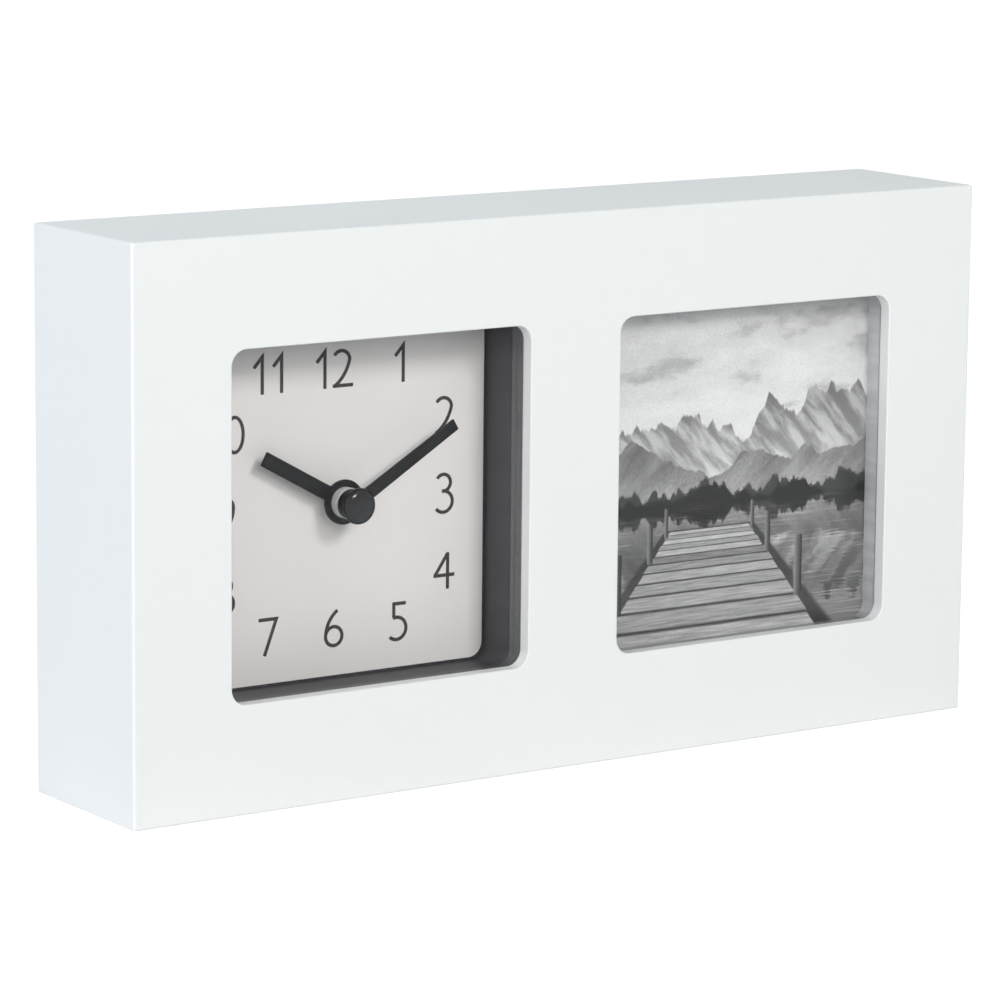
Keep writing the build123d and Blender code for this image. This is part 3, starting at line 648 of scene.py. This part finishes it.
def photoPaper():
    material, tree, place = startMaterial("photoPaper")
    low, high, middle = boxOf("photo_print")
    half = (high.x - low.x) / 2
    axes = addNode(tree, "ShaderNodeSeparateXYZ", {"Vector": place})
    u = calc(tree, "MULTIPLY_ADD", axes.outputs["X"], 1 / half, -middle.x / half)
    v = calc(tree, "MULTIPLY_ADD", axes.outputs["Z"], 1 / half, -middle.z / half)
    line = lake["waterline"]
    group = sceneryGroup()
    land = useGroup(tree, group, u, v)

    depth = calc(tree, "SUBTRACT", line, v)
    sway = spread(tree, flatNoise(tree, u, v, *lake["ripples"]), -1.0, 1.0)
    reach = fromTo(tree, depth, *lake["sway"])
    mirrored = calc(tree, "MULTIPLY_ADD", sway, reach, calc(tree, "ADD", depth, line))
    water = useGroup(tree, group, u, mirrored)
    water = calc(tree, "MULTIPLY", water, fromTo(tree, depth, *lake["dimming"]))
    streaks = flatNoise(tree, u, v, *lake["streaks"])
    water = calc(tree, "ADD", water, fromTo(tree, streaks, *lake["glints"]))
    tone = mixTone(tree, fromTo(tree, depth, 0.0, lake["shore"]), land, water)

    tone = jettyTone(tree, u, v, tone)

    grain = noise(tree, place, paper["grainScale"], 1.0)
    tone = calc(tree, "ADD", tone, spread(tree, grain, -paper["grain"], paper["grain"]))
    corner = [calc(tree, "POWER", calc(tree, "ABSOLUTE", axis), 4.0) for axis in (u, v)]
    fade = fromTo(tree, calc(tree, "ADD", *corner), *paper["corners"])
    tone = calc(tree, "MULTIPLY", tone, fade, clamp=True)
    tone = calc(tree, "POWER", tone, 2.2)
    color = addNode(tree, "ShaderNodeCombineColor", {0: tone, 1: tone, 2: tone}).outputs[0]
    roughness = spread(tree, noise(tree, place, paper["sheenScale"], 2.0), *paper["roughness"])
    return surface(material, tree, color, roughness, gloss=paper["gloss"])


finishes = {
    "white_lacquer": whiteLacquer(),
    "raw_board": rawBoard(),
    "clear_plastic": clearPlastic("clock_lens", "clearPlastic"),
    "charcoal_plastic": charcoalPlastic(),
    "dial_card": dialCard(),
    "dial_ink": dialInk(),
    "black_hands": blackPaint(),
    "black_gloss": blackGloss(),
    "case_plastic": casePlastic(),
    "white_plastic": whitePlastic(),
    "steel": metal("steel"),
    "brass": metal("brass"),
    "copper_wire": metal("copperWire"),
    "circuit": circuitBoard(),
    "zinc_steel": metal("zincSteel"),
    "photo_paper": photoPaper(),
    "grey_card": greyCard(),
    "foam": darkFoam(),
    "battery_sleeve": batterySleeve(),
}
ownFinishes = {"photo_lens": clearPlastic("photo_lens", "clearPhotoTray")}
for part in frame["record"]["subparts"]:
    piece = nodes[part["node"]]
    piece.data.materials.clear()
    piece.data.materials.append(ownFinishes.get(part["node"]) or finishes[part["material_slot"]])
print("finishes set")


# A piece takes its body, its slot and its finish in one go.
def settle(piece, body, slotName, replaced=()):
    piece.data.materials.clear()
    piece.data.materials.append(finishes[slotName])
    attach(piece, body)
    if replaced:
        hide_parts(*replaced)


def newObject(name, data):
    made = bpy.data.objects.new(name, data)
    bpy.context.scene.collection.objects.link(made)
    return made


def objectFrom(name, form):
    mesh = bpy.data.meshes.new(name)
    form.to_mesh(mesh)
    form.free()
    return newObject(name, mesh)


# A turned form on the X or Y axis: a ring of points for each (radius, place) of its outline.
# A closed outline comes back to its start, and an open one gets a face on each end.
def turned(form, centre, outline, around, axis, closed=False):
    rings = []
    for radius, place in outline:
        ring = []
        for step in range(around):
            angle = 2 * math.pi * step / around
            point = centre.copy()
            point[1 - axis] += radius * math.cos(angle)
            point.z += radius * math.sin(angle)
            point[axis] = place
            ring.append(form.verts.new(point))
        rings.append(ring)
    pairs = list(zip(rings, rings[1:]))
    if closed:
        pairs.append((rings[-1], rings[0]))
    for near, far in pairs:
        for step in range(around):
            after = (step + 1) % around
            form.faces.new((near[step], near[after], far[after], far[step]))
    if not closed:
        form.faces.new(rings[0])
        form.faces.new(list(reversed(rings[-1])))


def outward(form):
    bmesh.ops.remove_doubles(form, verts=form.verts, dist=1e-7)
    bmesh.ops.recalc_face_normals(form, faces=form.faces)


def smooth(piece):
    for face in piece.data.polygons:
        face.use_smooth = True


# Turns a set-up Geometry Nodes object into a plain mesh and drops what it was made from.
def bakeNodes(source, name, *spares):
    bpy.context.view_layer.update()
    mesh = bpy.data.meshes.new_from_object(source.evaluated_get(bpy.context.evaluated_depsgraph_get()))
    mesh.name = name
    source.modifiers.clear()
    for spare in (source, *spares):
        bpy.data.objects.remove(spare)
    return newObject(name, mesh)


def geometryTree(name, inputs):
    tree = bpy.data.node_groups.new(name, "GeometryNodeTree")
    tree.interface.new_socket(name="Geometry", in_out="INPUT", socket_type="NodeSocketGeometry")
    for label, kind in inputs.items():
        tree.interface.new_socket(name=label, in_out="INPUT", socket_type=kind)
    tree.interface.new_socket(name="Geometry", in_out="OUTPUT", socket_type="NodeSocketGeometry")
    return tree, tree.nodes.new("NodeGroupInput").outputs


def endTree(tree, geometry, material):
    real = addNode(tree, "GeometryNodeRealizeInstances", {"Geometry": geometry}).outputs[0]
    sockets = {"Geometry": real, "Material": material}
    done = addNode(tree, "GeometryNodeSetMaterial", sockets).outputs[0]
    addNode(tree, "NodeGroupOutput", {"Geometry": done})


def useTree(holder, tree, values):
    modifier = holder.modifiers.new(tree.name, "NODES")
    modifier.node_group = tree
    for item in tree.interface.items_tree:
        if item.name in values:
            modifier[item.identifier] = values[item.name]


# A cross from the points of one of its arms.
def crossOutline(arm):
    quarters = ((1, 0), (0, 1), (-1, 0), (0, -1))
    return [(c * x - s * y, s * x + c * y) for c, s in quarters for x, y in arm]


# Countersunk cross-head screws of the back panel.
screw = {
    "headRadius": 2.75 * mm,
    "headHeight": 1.55 * mm,
    "headChamfer": 0.12 * mm,
    "crossReach": 1.75 * mm,
    "crossWidth": 0.72 * mm,
    "crossDepth": 1.15 * mm,
    "crossTaper": 0.5,
    "crestRadius": 1.46 * mm,
    "rootRadius": 1.02 * mm,
    "shankShare": 0.92,
    "coreShare": 0.98,
    "leastThread": 0.02,
    "pitch": 1.3 * mm,
    "threadStart": 2.6 * mm,
    "tip": 2.2 * mm,
    "around": 24,
    "seed": 5,
    "turnRange": 3.14159,
    "fromEdge": 2.8 * mm,
}


# One screw, head up along +Z with its top at zero and its axis on the Z axis.
def screwForm(length):
    form = bmesh.new()
    around = screw["around"]
    head, slim = screw["headRadius"], screw["crestRadius"] * screw["shankShare"]

    def ring(radius, z):
        turn = [2 * math.pi * step / around for step in range(around)]
        return [form.verts.new((radius * math.cos(a), radius * math.sin(a), z)) for a in turn]

    def skin(near, far):
        for step in range(len(near)):
            after = (step + 1) % len(near)
            form.faces.new((near[step], far[step], far[after], near[after]))

    chamfer = screw["headChamfer"]
    top = ring(head - chamfer, 0.0)
    rim = ring(head, -chamfer)
    under = ring(slim, -screw["headHeight"])
    neck = ring(slim, -screw["threadStart"])
    skin(top, rim)
    skin(rim, under)
    skin(under, neck)
    reach, half = screw["crossReach"], screw["crossWidth"] / 2
    corner = [(reach, -half), (reach, half), (half, half)]
    cross = crossOutline(corner)
    taper = screw["crossTaper"]
    mouth = [form.verts.new((x, y, 0.0)) for x, y in cross]
    foot = [form.verts.new((x * taper, y * taper, -screw["crossDepth"])) for x, y in cross]
    skin(mouth, foot)
    form.faces.new(list(reversed(foot)))
    edges = [form.edges.get((loop[i], loop[i - 1])) or form.edges.new((loop[i], loop[i - 1]))
             for loop in (top, mouth) for i in range(len(loop))]
    bmesh.ops.triangle_fill(form, use_beauty=True, edges=edges)

    # The thread is two helices, its root and its crest, skinned to each other.
    pitch = screw["pitch"]
    turns = int((length - screw["threadStart"] - screw["tip"]) / pitch)
    rows = []
    for radius, lift in ((screw["rootRadius"], 0.0), (screw["crestRadius"], 0.5)):
        row = []
        for step in range(turns * around + 1):
            along = step / around
            angle = 2 * math.pi * along
            fade = min(1.0, along, turns - along) if lift else 1.0
            r = screw["rootRadius"] + (radius - screw["rootRadius"]) * max(fade, screw["leastThread"])
            z = -screw["threadStart"] - (along + lift) * pitch
            row.append(form.verts.new((r * math.cos(angle), r * math.sin(angle), z)))
        rows.append(row)
    root, crest = rows
    for step in range(turns * around):
        form.faces.new((root[step], crest[step], crest[step + 1], root[step + 1]))
        if step + around < turns * around:
            form.faces.new((crest[step], root[step + around], root[step + around + 1], crest[step + 1]))
    core = screw["rootRadius"] * screw["coreShare"]
    start = ring(core, -screw["threadStart"])
    end = ring(core, -length + screw["tip"])
    skin(neck, start)
    skin(start, end)
    point = form.verts.new((0, 0, -length))
    for step in range(around):
        form.faces.new((end[step], point, end[(step + 1) % around]))
    return form


def makeScrews():
    low, high, middle = boxOf("back_screws")
    pattern = objectFrom("screwPattern", screwForm(high.y - low.y))
    inset = screw["fromEdge"]
    columns = (low.x + inset, middle.x, high.x - inset)
    rows = (low.z + inset, high.z - inset)
    places = bpy.data.meshes.new("screwPlaces")
    places.from_pydata([(x, high.y, z) for x in columns for z in rows], [], [])
    holder = newObject("screwPlaces", places)
    tree, given = geometryTree("backScrews", {
        "Screw": "NodeSocketObject",
        "Material": "NodeSocketMaterial",
        "Turn": "NodeSocketFloat",
        "Seed": "NodeSocketInt",
    })
    shape = addNode(tree, "GeometryNodeObjectInfo", {"Object": given["Screw"], "As Instance": True})
    sockets = {3: given["Turn"], "Seed": given["Seed"]}
    turn = addNode(tree, "FunctionNodeRandomValue", sockets, data_type="FLOAT").outputs[1]
    spin = addNode(tree, "ShaderNodeCombineXYZ", {"Z": turn}).outputs[0]
    lay = addNode(tree, "FunctionNodeEulerToRotation", {"Euler": (-math.pi / 2, 0, 0)}).outputs[0]
    own = addNode(tree, "FunctionNodeEulerToRotation", {"Euler": spin}).outputs[0]
    sockets = {"Rotation": lay, "Rotate By": own}
    both = addNode(tree, "FunctionNodeRotateRotation", sockets, rotation_space="LOCAL").outputs[0]
    sockets = {"Points": given["Geometry"], "Instance": shape.outputs["Geometry"], "Rotation": both}
    placed = addNode(tree, "GeometryNodeInstanceOnPoints", sockets).outputs[0]
    endTree(tree, placed, given["Material"])
    useTree(holder, tree, {
        "Screw": pattern,
        "Material": finishes["zinc_steel"],
        "Turn": screw["turnRange"],
        "Seed": screw["seed"],
    })
    screws = bakeNodes(holder, "cross_screws", pattern)
    settle(screws, "root", "zinc_steel", ["back_screws"])


makeScrews()
print("screws made")


# Set knob of the movement: a turned core with ribs round its rim.
knob = {
    "ribs": 24,
    "ribRadius": 0.42 * mm,
    "ribSides": 12,
    "edge": 0.35 * mm,
    "dish": 0.45 * mm,
    "dishRadius": 2.9 * mm,
    "around": 96,
}


def makeKnob():
    low, high, middle = boxOf("set_knob")
    front, back = low.y, high.y
    outer = (high.x - low.x) / 2
    core = outer - knob["ribRadius"]
    form = bmesh.new()
    edge, dish = knob["edge"], knob["dish"]
    outline = [
        (core - edge, front), (core, front + edge), (core, back - edge), (core - edge, back),
        (knob["dishRadius"] + dish / 2, back), (knob["dishRadius"], back - dish / 3),
        (knob["dishRadius"] - dish / 2, back - dish), (2 * dish, back - dish), (dish, back - dish / 2),
    ]
    turned(form, middle, outline, knob["around"], alongY)
    outward(form)
    body = objectFrom("knobCore", form)
    tree, given = geometryTree("knobRibs", {
        "Ribs": "NodeSocketInt",
        "Ring": "NodeSocketFloat",
        "Rib": "NodeSocketFloat",
        "Length": "NodeSocketFloat",
        "Middle": "NodeSocketVector",
        "Material": "NodeSocketMaterial",
    })
    sockets = {"Vertices": given["Ribs"], "Radius": given["Ring"]}
    ring = addNode(tree, "GeometryNodeMeshCircle", sockets).outputs[0]
    sockets = {"Geometry": ring, "Translation": given["Middle"], "Rotation": (math.pi / 2, 0, 0)}
    ring = addNode(tree, "GeometryNodeTransform", sockets).outputs[0]
    sockets = {"Vertices": knob["ribSides"], "Radius": given["Rib"], "Depth": given["Length"]}
    rib = addNode(tree, "GeometryNodeMeshCylinder", sockets).outputs[0]
    sockets = {"Points": ring, "Instance": rib, "Rotation": (math.pi / 2, 0, 0)}
    ribs = addNode(tree, "GeometryNodeInstanceOnPoints", sockets).outputs[0]
    join = tree.nodes.new("GeometryNodeJoinGeometry")
    tree.links.new(given["Geometry"], join.inputs[0])
    tree.links.new(ribs, join.inputs[0])
    endTree(tree, join.outputs[0], given["Material"])
    useTree(body, tree, {
        "Ribs": knob["ribs"],
        "Ring": core,
        "Rib": knob["ribRadius"],
        "Length": back - front - 2 * edge,
        "Middle": (middle.x, middle.y, middle.z),
        "Material": finishes["case_plastic"],
    })
    settle(bakeNodes(body, "ribbed_knob"), "setting_set", "case_plastic", ["set_knob"])


makeKnob()
print("knob made")


# Battery: a plain printed sleeve shrunk over a steel can, its ends bare.
cell = {
    "around": 64,
    "sleeveEnd": 0.5 * mm,
    "sleeveSkin": 0.08 * mm,
    "roll": 0.5 * mm,
    "negativeRadius": 4.9 * mm,
    "bead": 0.5 * mm,
    "nubRadius": 2.65 * mm,
    "nubLength": 1.0 * mm,
    "nubEdge": 0.35 * mm,
}


def makeBattery():
    low, high, middle = boxOf("battery")
    radius = (high.z - low.z) / 2
    nub = cell["nubRadius"]
    canEnd = high.x - cell["nubLength"]
    skin, roll = cell["sleeveSkin"], cell["roll"]
    can = radius - skin
    form = bmesh.new()
    negative, bead, lip = cell["negativeRadius"], cell["bead"], cell["nubEdge"]
    ends = [
        (negative - bead, low.x + bead / 2),
        (negative, low.x),
        (negative + bead, low.x + bead / 2),
        (can - roll, low.x + bead * 0.7),
        (can - roll / 3, low.x + bead),
        (can, low.x + bead + roll),
        (can, canEnd - roll - bead / 2),
        (can - roll / 3, canEnd - bead / 2),
        (can - roll, canEnd - bead / 10),
        (nub + bead * 2, canEnd - bead / 5),
        (nub + bead / 2, canEnd),
        (nub, canEnd + bead / 2),
        (nub, high.x - lip),
        (nub - lip / 3, high.x - lip / 3),
        (nub - lip, high.x),
    ]
    turned(form, middle, ends, cell["around"], alongX)
    outward(form)
    steel = objectFrom("battery_ends", form)
    settle(steel, "battery_cell", "steel")
    start, end = low.x + cell["sleeveEnd"], canEnd - cell["sleeveEnd"]
    outline = []
    for x, way in ((start, 1), (end, -1)):
        outer = [
            (can - roll, x - way * skin), (radius - roll, x - way * skin),
            (radius - roll / 4, x + way * roll / 2), (radius, x + way * roll),
        ]
        outline += outer if way > 0 else list(reversed(outer))
    for x, way in ((end, -1), (start, 1)):
        inner = [(can - roll, x), (can - skin / 4, x + way * roll)]
        outline += inner if way < 0 else list(reversed(inner))
    form = bmesh.new()
    turned(form, middle, outline, cell["around"], alongX, closed=True)
    outward(form)
    sleeved = objectFrom("battery_sleeve", form)
    settle(sleeved, "battery_cell", "battery_sleeve", ["battery"])


# Foam block on the door, cut with a knife: square, with eased edges and slightly hollow sides.
foamBlock = {
    "edge": 1.6 * mm,
    "edgeSteps": 3,
    "cuts": 12,
    "hollow": 0.5 * mm,
    "uneven": 0.18 * mm,
    "waves": 90.0,
}


def makeFoam():
    low, high, middle = boxOf("photo_pusher")
    size = high - low
    form = bmesh.new()
    bmesh.ops.create_cube(form, size=1.0)
    for vert in form.verts:
        vert.co = Vector([middle[i] + vert.co[i] * size[i] for i in range(3)])
    edges = list(form.edges)
    edge, steps = foamBlock["edge"], foamBlock["edgeSteps"]
    bmesh.ops.bevel(form, geom=edges, offset=edge, segments=steps, profile=0.5, affect="EDGES")
    edges = [side for side in form.edges if side.calc_length() > 3 * edge]
    bmesh.ops.subdivide_edges(form, edges=edges, cuts=foamBlock["cuts"], use_grid_fill=True)
    for vert in form.verts:
        share = [abs(vert.co[i] - middle[i]) / (size[i] / 2) for i in range(3)]
        for axis in (0, 2):
            other = 2 - axis
            away = max(0.0, 1 - share[other] ** 2) * max(0.0, 1 - share[1] ** 2)
            if share[axis] > 0.99:
                wave = 0.5 + 0.5 * mathNoise.noise(vert.co * foamBlock["waves"])
                pull = (foamBlock["hollow"] + foamBlock["uneven"] * wave) * away
                vert.co[axis] -= math.copysign(pull, vert.co[axis] - middle[axis])
    bmesh.ops.recalc_face_normals(form, faces=form.faces)
    block = objectFrom("foam_block", form)
    smooth(block)
    settle(block, "door", "foam", ["photo_pusher"])


# Hands: copies of the plain forms with their edges eased, so that they catch the light.
easing = {
    "bodies": {"hour_hand": "hour_set", "minute_hand": "minute_set"},
    "edge": 0.10 * mm,
    "segments": 3,
    "flattest": 0.5,
    "sharpest": 35.0,
}


def easeEdges(node, body):
    form = bmesh.new()
    form.from_mesh(nodes[node].data)
    bmesh.ops.remove_doubles(form, verts=form.verts, dist=1e-6)
    flattest = math.radians(easing["flattest"])
    bmesh.ops.dissolve_limit(form, angle_limit=flattest, verts=form.verts, edges=form.edges)
    piece = objectFrom(node + "_painted", form)
    bevel = piece.modifiers.new("edge", "BEVEL")
    bevel.width = easing["edge"]
    bevel.segments = easing["segments"]
    bevel.limit_method = "ANGLE"
    bevel.angle_limit = math.radians(easing["sharpest"])
    bevel.harden_normals = True
    smooth(piece)
    settle(piece, body, "black_hands", [node])


# Cap of the hands: a glossy button with a rounded face, on a narrower neck.
button = {
    "flat": 0.9 * mm,
    "headShare": 0.56,
    "neck": 3.1 * mm,
    "bore": 1.32 * mm,
    "under": 0.25 * mm,
    "edge": 0.1 * mm,
    "sharpest": 35.0,
    "steps": 12,
    "around": 96,
}


def makeCap():
    low, high, middle = boxOf("hand_cap")
    front, back = low.y, high.y
    radius = (high.x - low.x) / 2
    head = front + button["headShare"] * (back - front)
    rise = head - button["under"] - front
    edge, neck = button["edge"], button["neck"]
    outline = []
    for step in range(button["steps"] + 1):
        turn = math.pi / 2 * step / button["steps"]
        reach = button["flat"] + (radius - button["flat"]) * math.sin(turn)
        outline.append((reach, front + rise * (1 - math.cos(turn))))
    outline += [(radius - edge, head), (neck + edge, head), (neck, head + edge), (neck, back)]
    outline += [(button["bore"], back), (button["bore"], head - 3 * edge)]
    form = bmesh.new()
    turned(form, middle, outline, button["around"], alongY)
    outward(form)
    cap = objectFrom("domed_cap", form)
    smooth(cap)
    cap.data.set_sharp_from_angle(angle=math.radians(button["sharpest"]))
    settle(cap, "minute_set", "black_gloss", ["hand_cap"])


# Marks moulded on the movement: which way the knob turns, and which end of the battery is which.
marks = {
    "height": 0.18 * mm,
    "sunk": 0.02 * mm,
    "arrowRadius": 7.0 * mm,
    "arrowWidth": 0.7 * mm,
    "arrowSweep": (35.0, 125.0),
    "headLength": 18.0,
    "headWidth": 2.2 * mm,
    "signSize": 3.0 * mm,
    "signStroke": 0.7 * mm,
    "signGap": 2.2 * mm,
    "signInset": 5.0 * mm,
    "steps": 18,
}


def raisedForm(form, outline, base, height):
    low = [form.verts.new((x, base, z)) for x, z in outline]
    high = [form.verts.new((x, base + height, z)) for x, z in outline]
    form.faces.new(low)
    form.faces.new(list(reversed(high)))
    for step in range(len(low)):
        after = (step + 1) % len(low)
        form.faces.new((low[step], high[step], high[after], low[after]))


def makeMarks():
    caseTop = boxOf("movement_case_back")[1]
    knobMiddle = boxOf("set_knob")[2]
    cellLow, cellHigh = boxOf("battery")[:2]
    base = caseTop.y - marks["sunk"]
    form = bmesh.new()

    def around(radius, degrees):
        turn = math.radians(degrees)
        return (knobMiddle.x + radius * math.cos(turn), knobMiddle.z + radius * math.sin(turn))

    half = marks["arrowWidth"] / 2
    radius = marks["arrowRadius"]
    start, end = marks["arrowSweep"]
    sweep = [start + (end - start) * step / marks["steps"] for step in range(marks["steps"] + 1)]
    outline = [around(radius - half, angle) for angle in sweep]
    outline += [around(radius - marks["headWidth"] / 2, end), around(radius, end + marks["headLength"])]
    outline += [around(radius + marks["headWidth"] / 2, end)]
    outline += [around(radius + half, angle) for angle in reversed(sweep)]
    raisedForm(form, outline, base, marks["height"])
    size, stroke = marks["signSize"] / 2, marks["signStroke"] / 2
    row = cellHigh.z + marks["signGap"]
    minus = cellLow.x + marks["signInset"]
    plus = cellHigh.x - marks["signInset"]
    bar = [(-size, -stroke), (size, -stroke), (size, stroke), (-size, stroke)]
    arm = [(stroke, stroke), (stroke, size), (-stroke, size)]
    for middle, sign in ((minus, bar), (plus, crossOutline(arm))):
        raisedForm(form, [(middle + x, row + z) for x, z in sign], base, marks["height"])
    outward(form)
    raised = objectFrom("case_marks", form)
    settle(raised, "root", "case_plastic")


makeBattery()
makeFoam()
for node, body in easing["bodies"].items():
    easeEdges(node, body)
makeCap()
makeMarks()
print("battery, foam, hands and marks made")


# Floor and lights. The floor and the world look white, and light the object at a plain level.
studio = {
    "worldColor": (0.88, 0.95, 1.0),
    "worldLevel": 0.24,
    "floorColor": (0.80, 0.80, 0.80),
    "floorGlow": 0.76,
    "floorSize": 6.0,
    "lamps": {
        "frontLight": {
            "from": (-0.25, -1.00, 0.36), "distance": 2.4, "size": (1.20, 0.66), "power": 14.2,
            "color": (1.0, 0.985, 0.97), "mirrored": False,
        },
        "keyLight": {
            "from": (0.03, -1.00, 0.55), "distance": 1.5, "size": (0.30, 0.30), "power": 6.7,
            "color": (1.0, 0.985, 0.97), "mirrored": True,
        },
        "leftLight": {
            "from": (-1.00, -0.15, 0.30), "distance": 2.4, "size": (1.76, 1.76), "power": 29.2,
            "color": (0.975, 0.943, 0.970), "mirrored": True,
        },
        "topLight": {
            "from": (-0.62, 0.22, 0.75), "distance": 0.7, "size": (0.45, 0.45), "power": 0.63,
            "color": (0.50, 0.78, 1.0), "mirrored": True,
        },
        "backLight": {
            "from": (0.35, 1.00, 0.04), "distance": 2.4, "size": (1.60, 1.60), "power": 16.0,
            "color": (1.0, 1.0, 1.0), "mirrored": False,
        },
    },
}


def seenDirectly(tree):
    path = tree.nodes.new("ShaderNodeLightPath").outputs
    either = calc(tree, "ADD", path["Is Camera Ray"], path["Is Glossy Ray"])
    return calc(tree, "ADD", either, path["Is Transmission Ray"], clamp=True)


def makeFloor():
    mesh = bpy.data.meshes.new("floor")
    half = studio["floorSize"] / 2
    corners = [(-half, -half, 0), (half, -half, 0), (half, half, 0), (-half, half, 0)]
    mesh.from_pydata(corners, [], [(0, 1, 2, 3)])
    floor = newObject("floor", mesh)
    material, tree = startMaterial("paleFloor")[:2]
    diffuse = addNode(tree, "ShaderNodeBsdfDiffuse", {"Color": (*studio["floorColor"], 1.0)}).outputs[0]
    seen = seenDirectly(tree)
    glow = addNode(tree, "ShaderNodeEmission", {"Strength": studio["floorGlow"]}).outputs[0]
    both = addNode(tree, "ShaderNodeAddShader", {0: diffuse, 1: glow}).outputs[0]
    shader = addNode(tree, "ShaderNodeMixShader", {0: seen, 1: diffuse, 2: both}).outputs[0]
    mesh.materials.append(finishMaterial(material, tree, shader))


def makeWorld():
    world = bpy.data.worlds.new("paleWorld")
    world.use_nodes = True
    tree = world.node_tree
    tree.nodes.clear()
    seen = seenDirectly(tree)
    color = mixColor(tree, seen, studio["worldColor"], (1.0, 1.0, 1.0))
    level = mixTone(tree, seen, studio["worldLevel"], 1.0)
    shader = addNode(tree, "ShaderNodeBackground", {"Color": color, "Strength": level}).outputs[0]
    addNode(tree, "ShaderNodeOutputWorld", {"Surface": shader})
    bpy.context.scene.world = world


def softLight(name, values, target):
    lamp = bpy.data.lights.new(name, "AREA")
    lamp.shape = "RECTANGLE"
    lamp.size, lamp.size_y = values["size"]
    lamp.energy = values["power"]
    lamp.color = values["color"]
    light = newObject(name, lamp)
    direction = Vector(values["from"]).normalized()
    light.location = target + direction * values["distance"]
    light.visible_glossy = values["mirrored"]
    light.rotation_mode = "QUATERNION"
    light.rotation_quaternion = direction.to_track_quat("Z", "Y")


makeFloor()
makeWorld()
objectMiddle = (Vector(cadBox[0]) + Vector(cadBox[1])) / 2
for name, values in studio["lamps"].items():
    softLight(name, values, objectMiddle)
print("floor and lights made")


# Camera, fitted to the edges of the box in the photograph.
view = {
    "place": (-0.561757, -0.810746, 0.230391),
    "lens": 166.287,
    "sensor": 36.0,
    "clip": (0.05, 20.0),
    "azimuth": -34.4568,
    "elevation": 10.0716,
    "roll": 0.5511,
}


def makeCamera():
    data = bpy.data.cameras.new("camera")
    data.lens = view["lens"]
    data.sensor_width = view["sensor"]
    data.clip_start, data.clip_end = view["clip"]
    camera = newObject("camera", data)
    azimuth, elevation = math.radians(view["azimuth"]), math.radians(view["elevation"])
    back = Vector((
        math.sin(azimuth) * math.cos(elevation),
        -math.cos(azimuth) * math.cos(elevation),
        math.sin(elevation),
    ))
    right = (-back).cross(Vector((0, 0, 1))).normalized()
    up = back.cross(right)
    turn = Matrix((right, up, back)).transposed().to_4x4()
    roll = Matrix.Rotation(math.radians(view["roll"]), 4, "Z")
    camera.matrix_world = Matrix.Translation(view["place"]) @ turn @ roll
    bpy.context.scene.camera = camera


makeCamera()
bpy.context.scene.view_settings.view_transform = "Standard"
print("camera made")
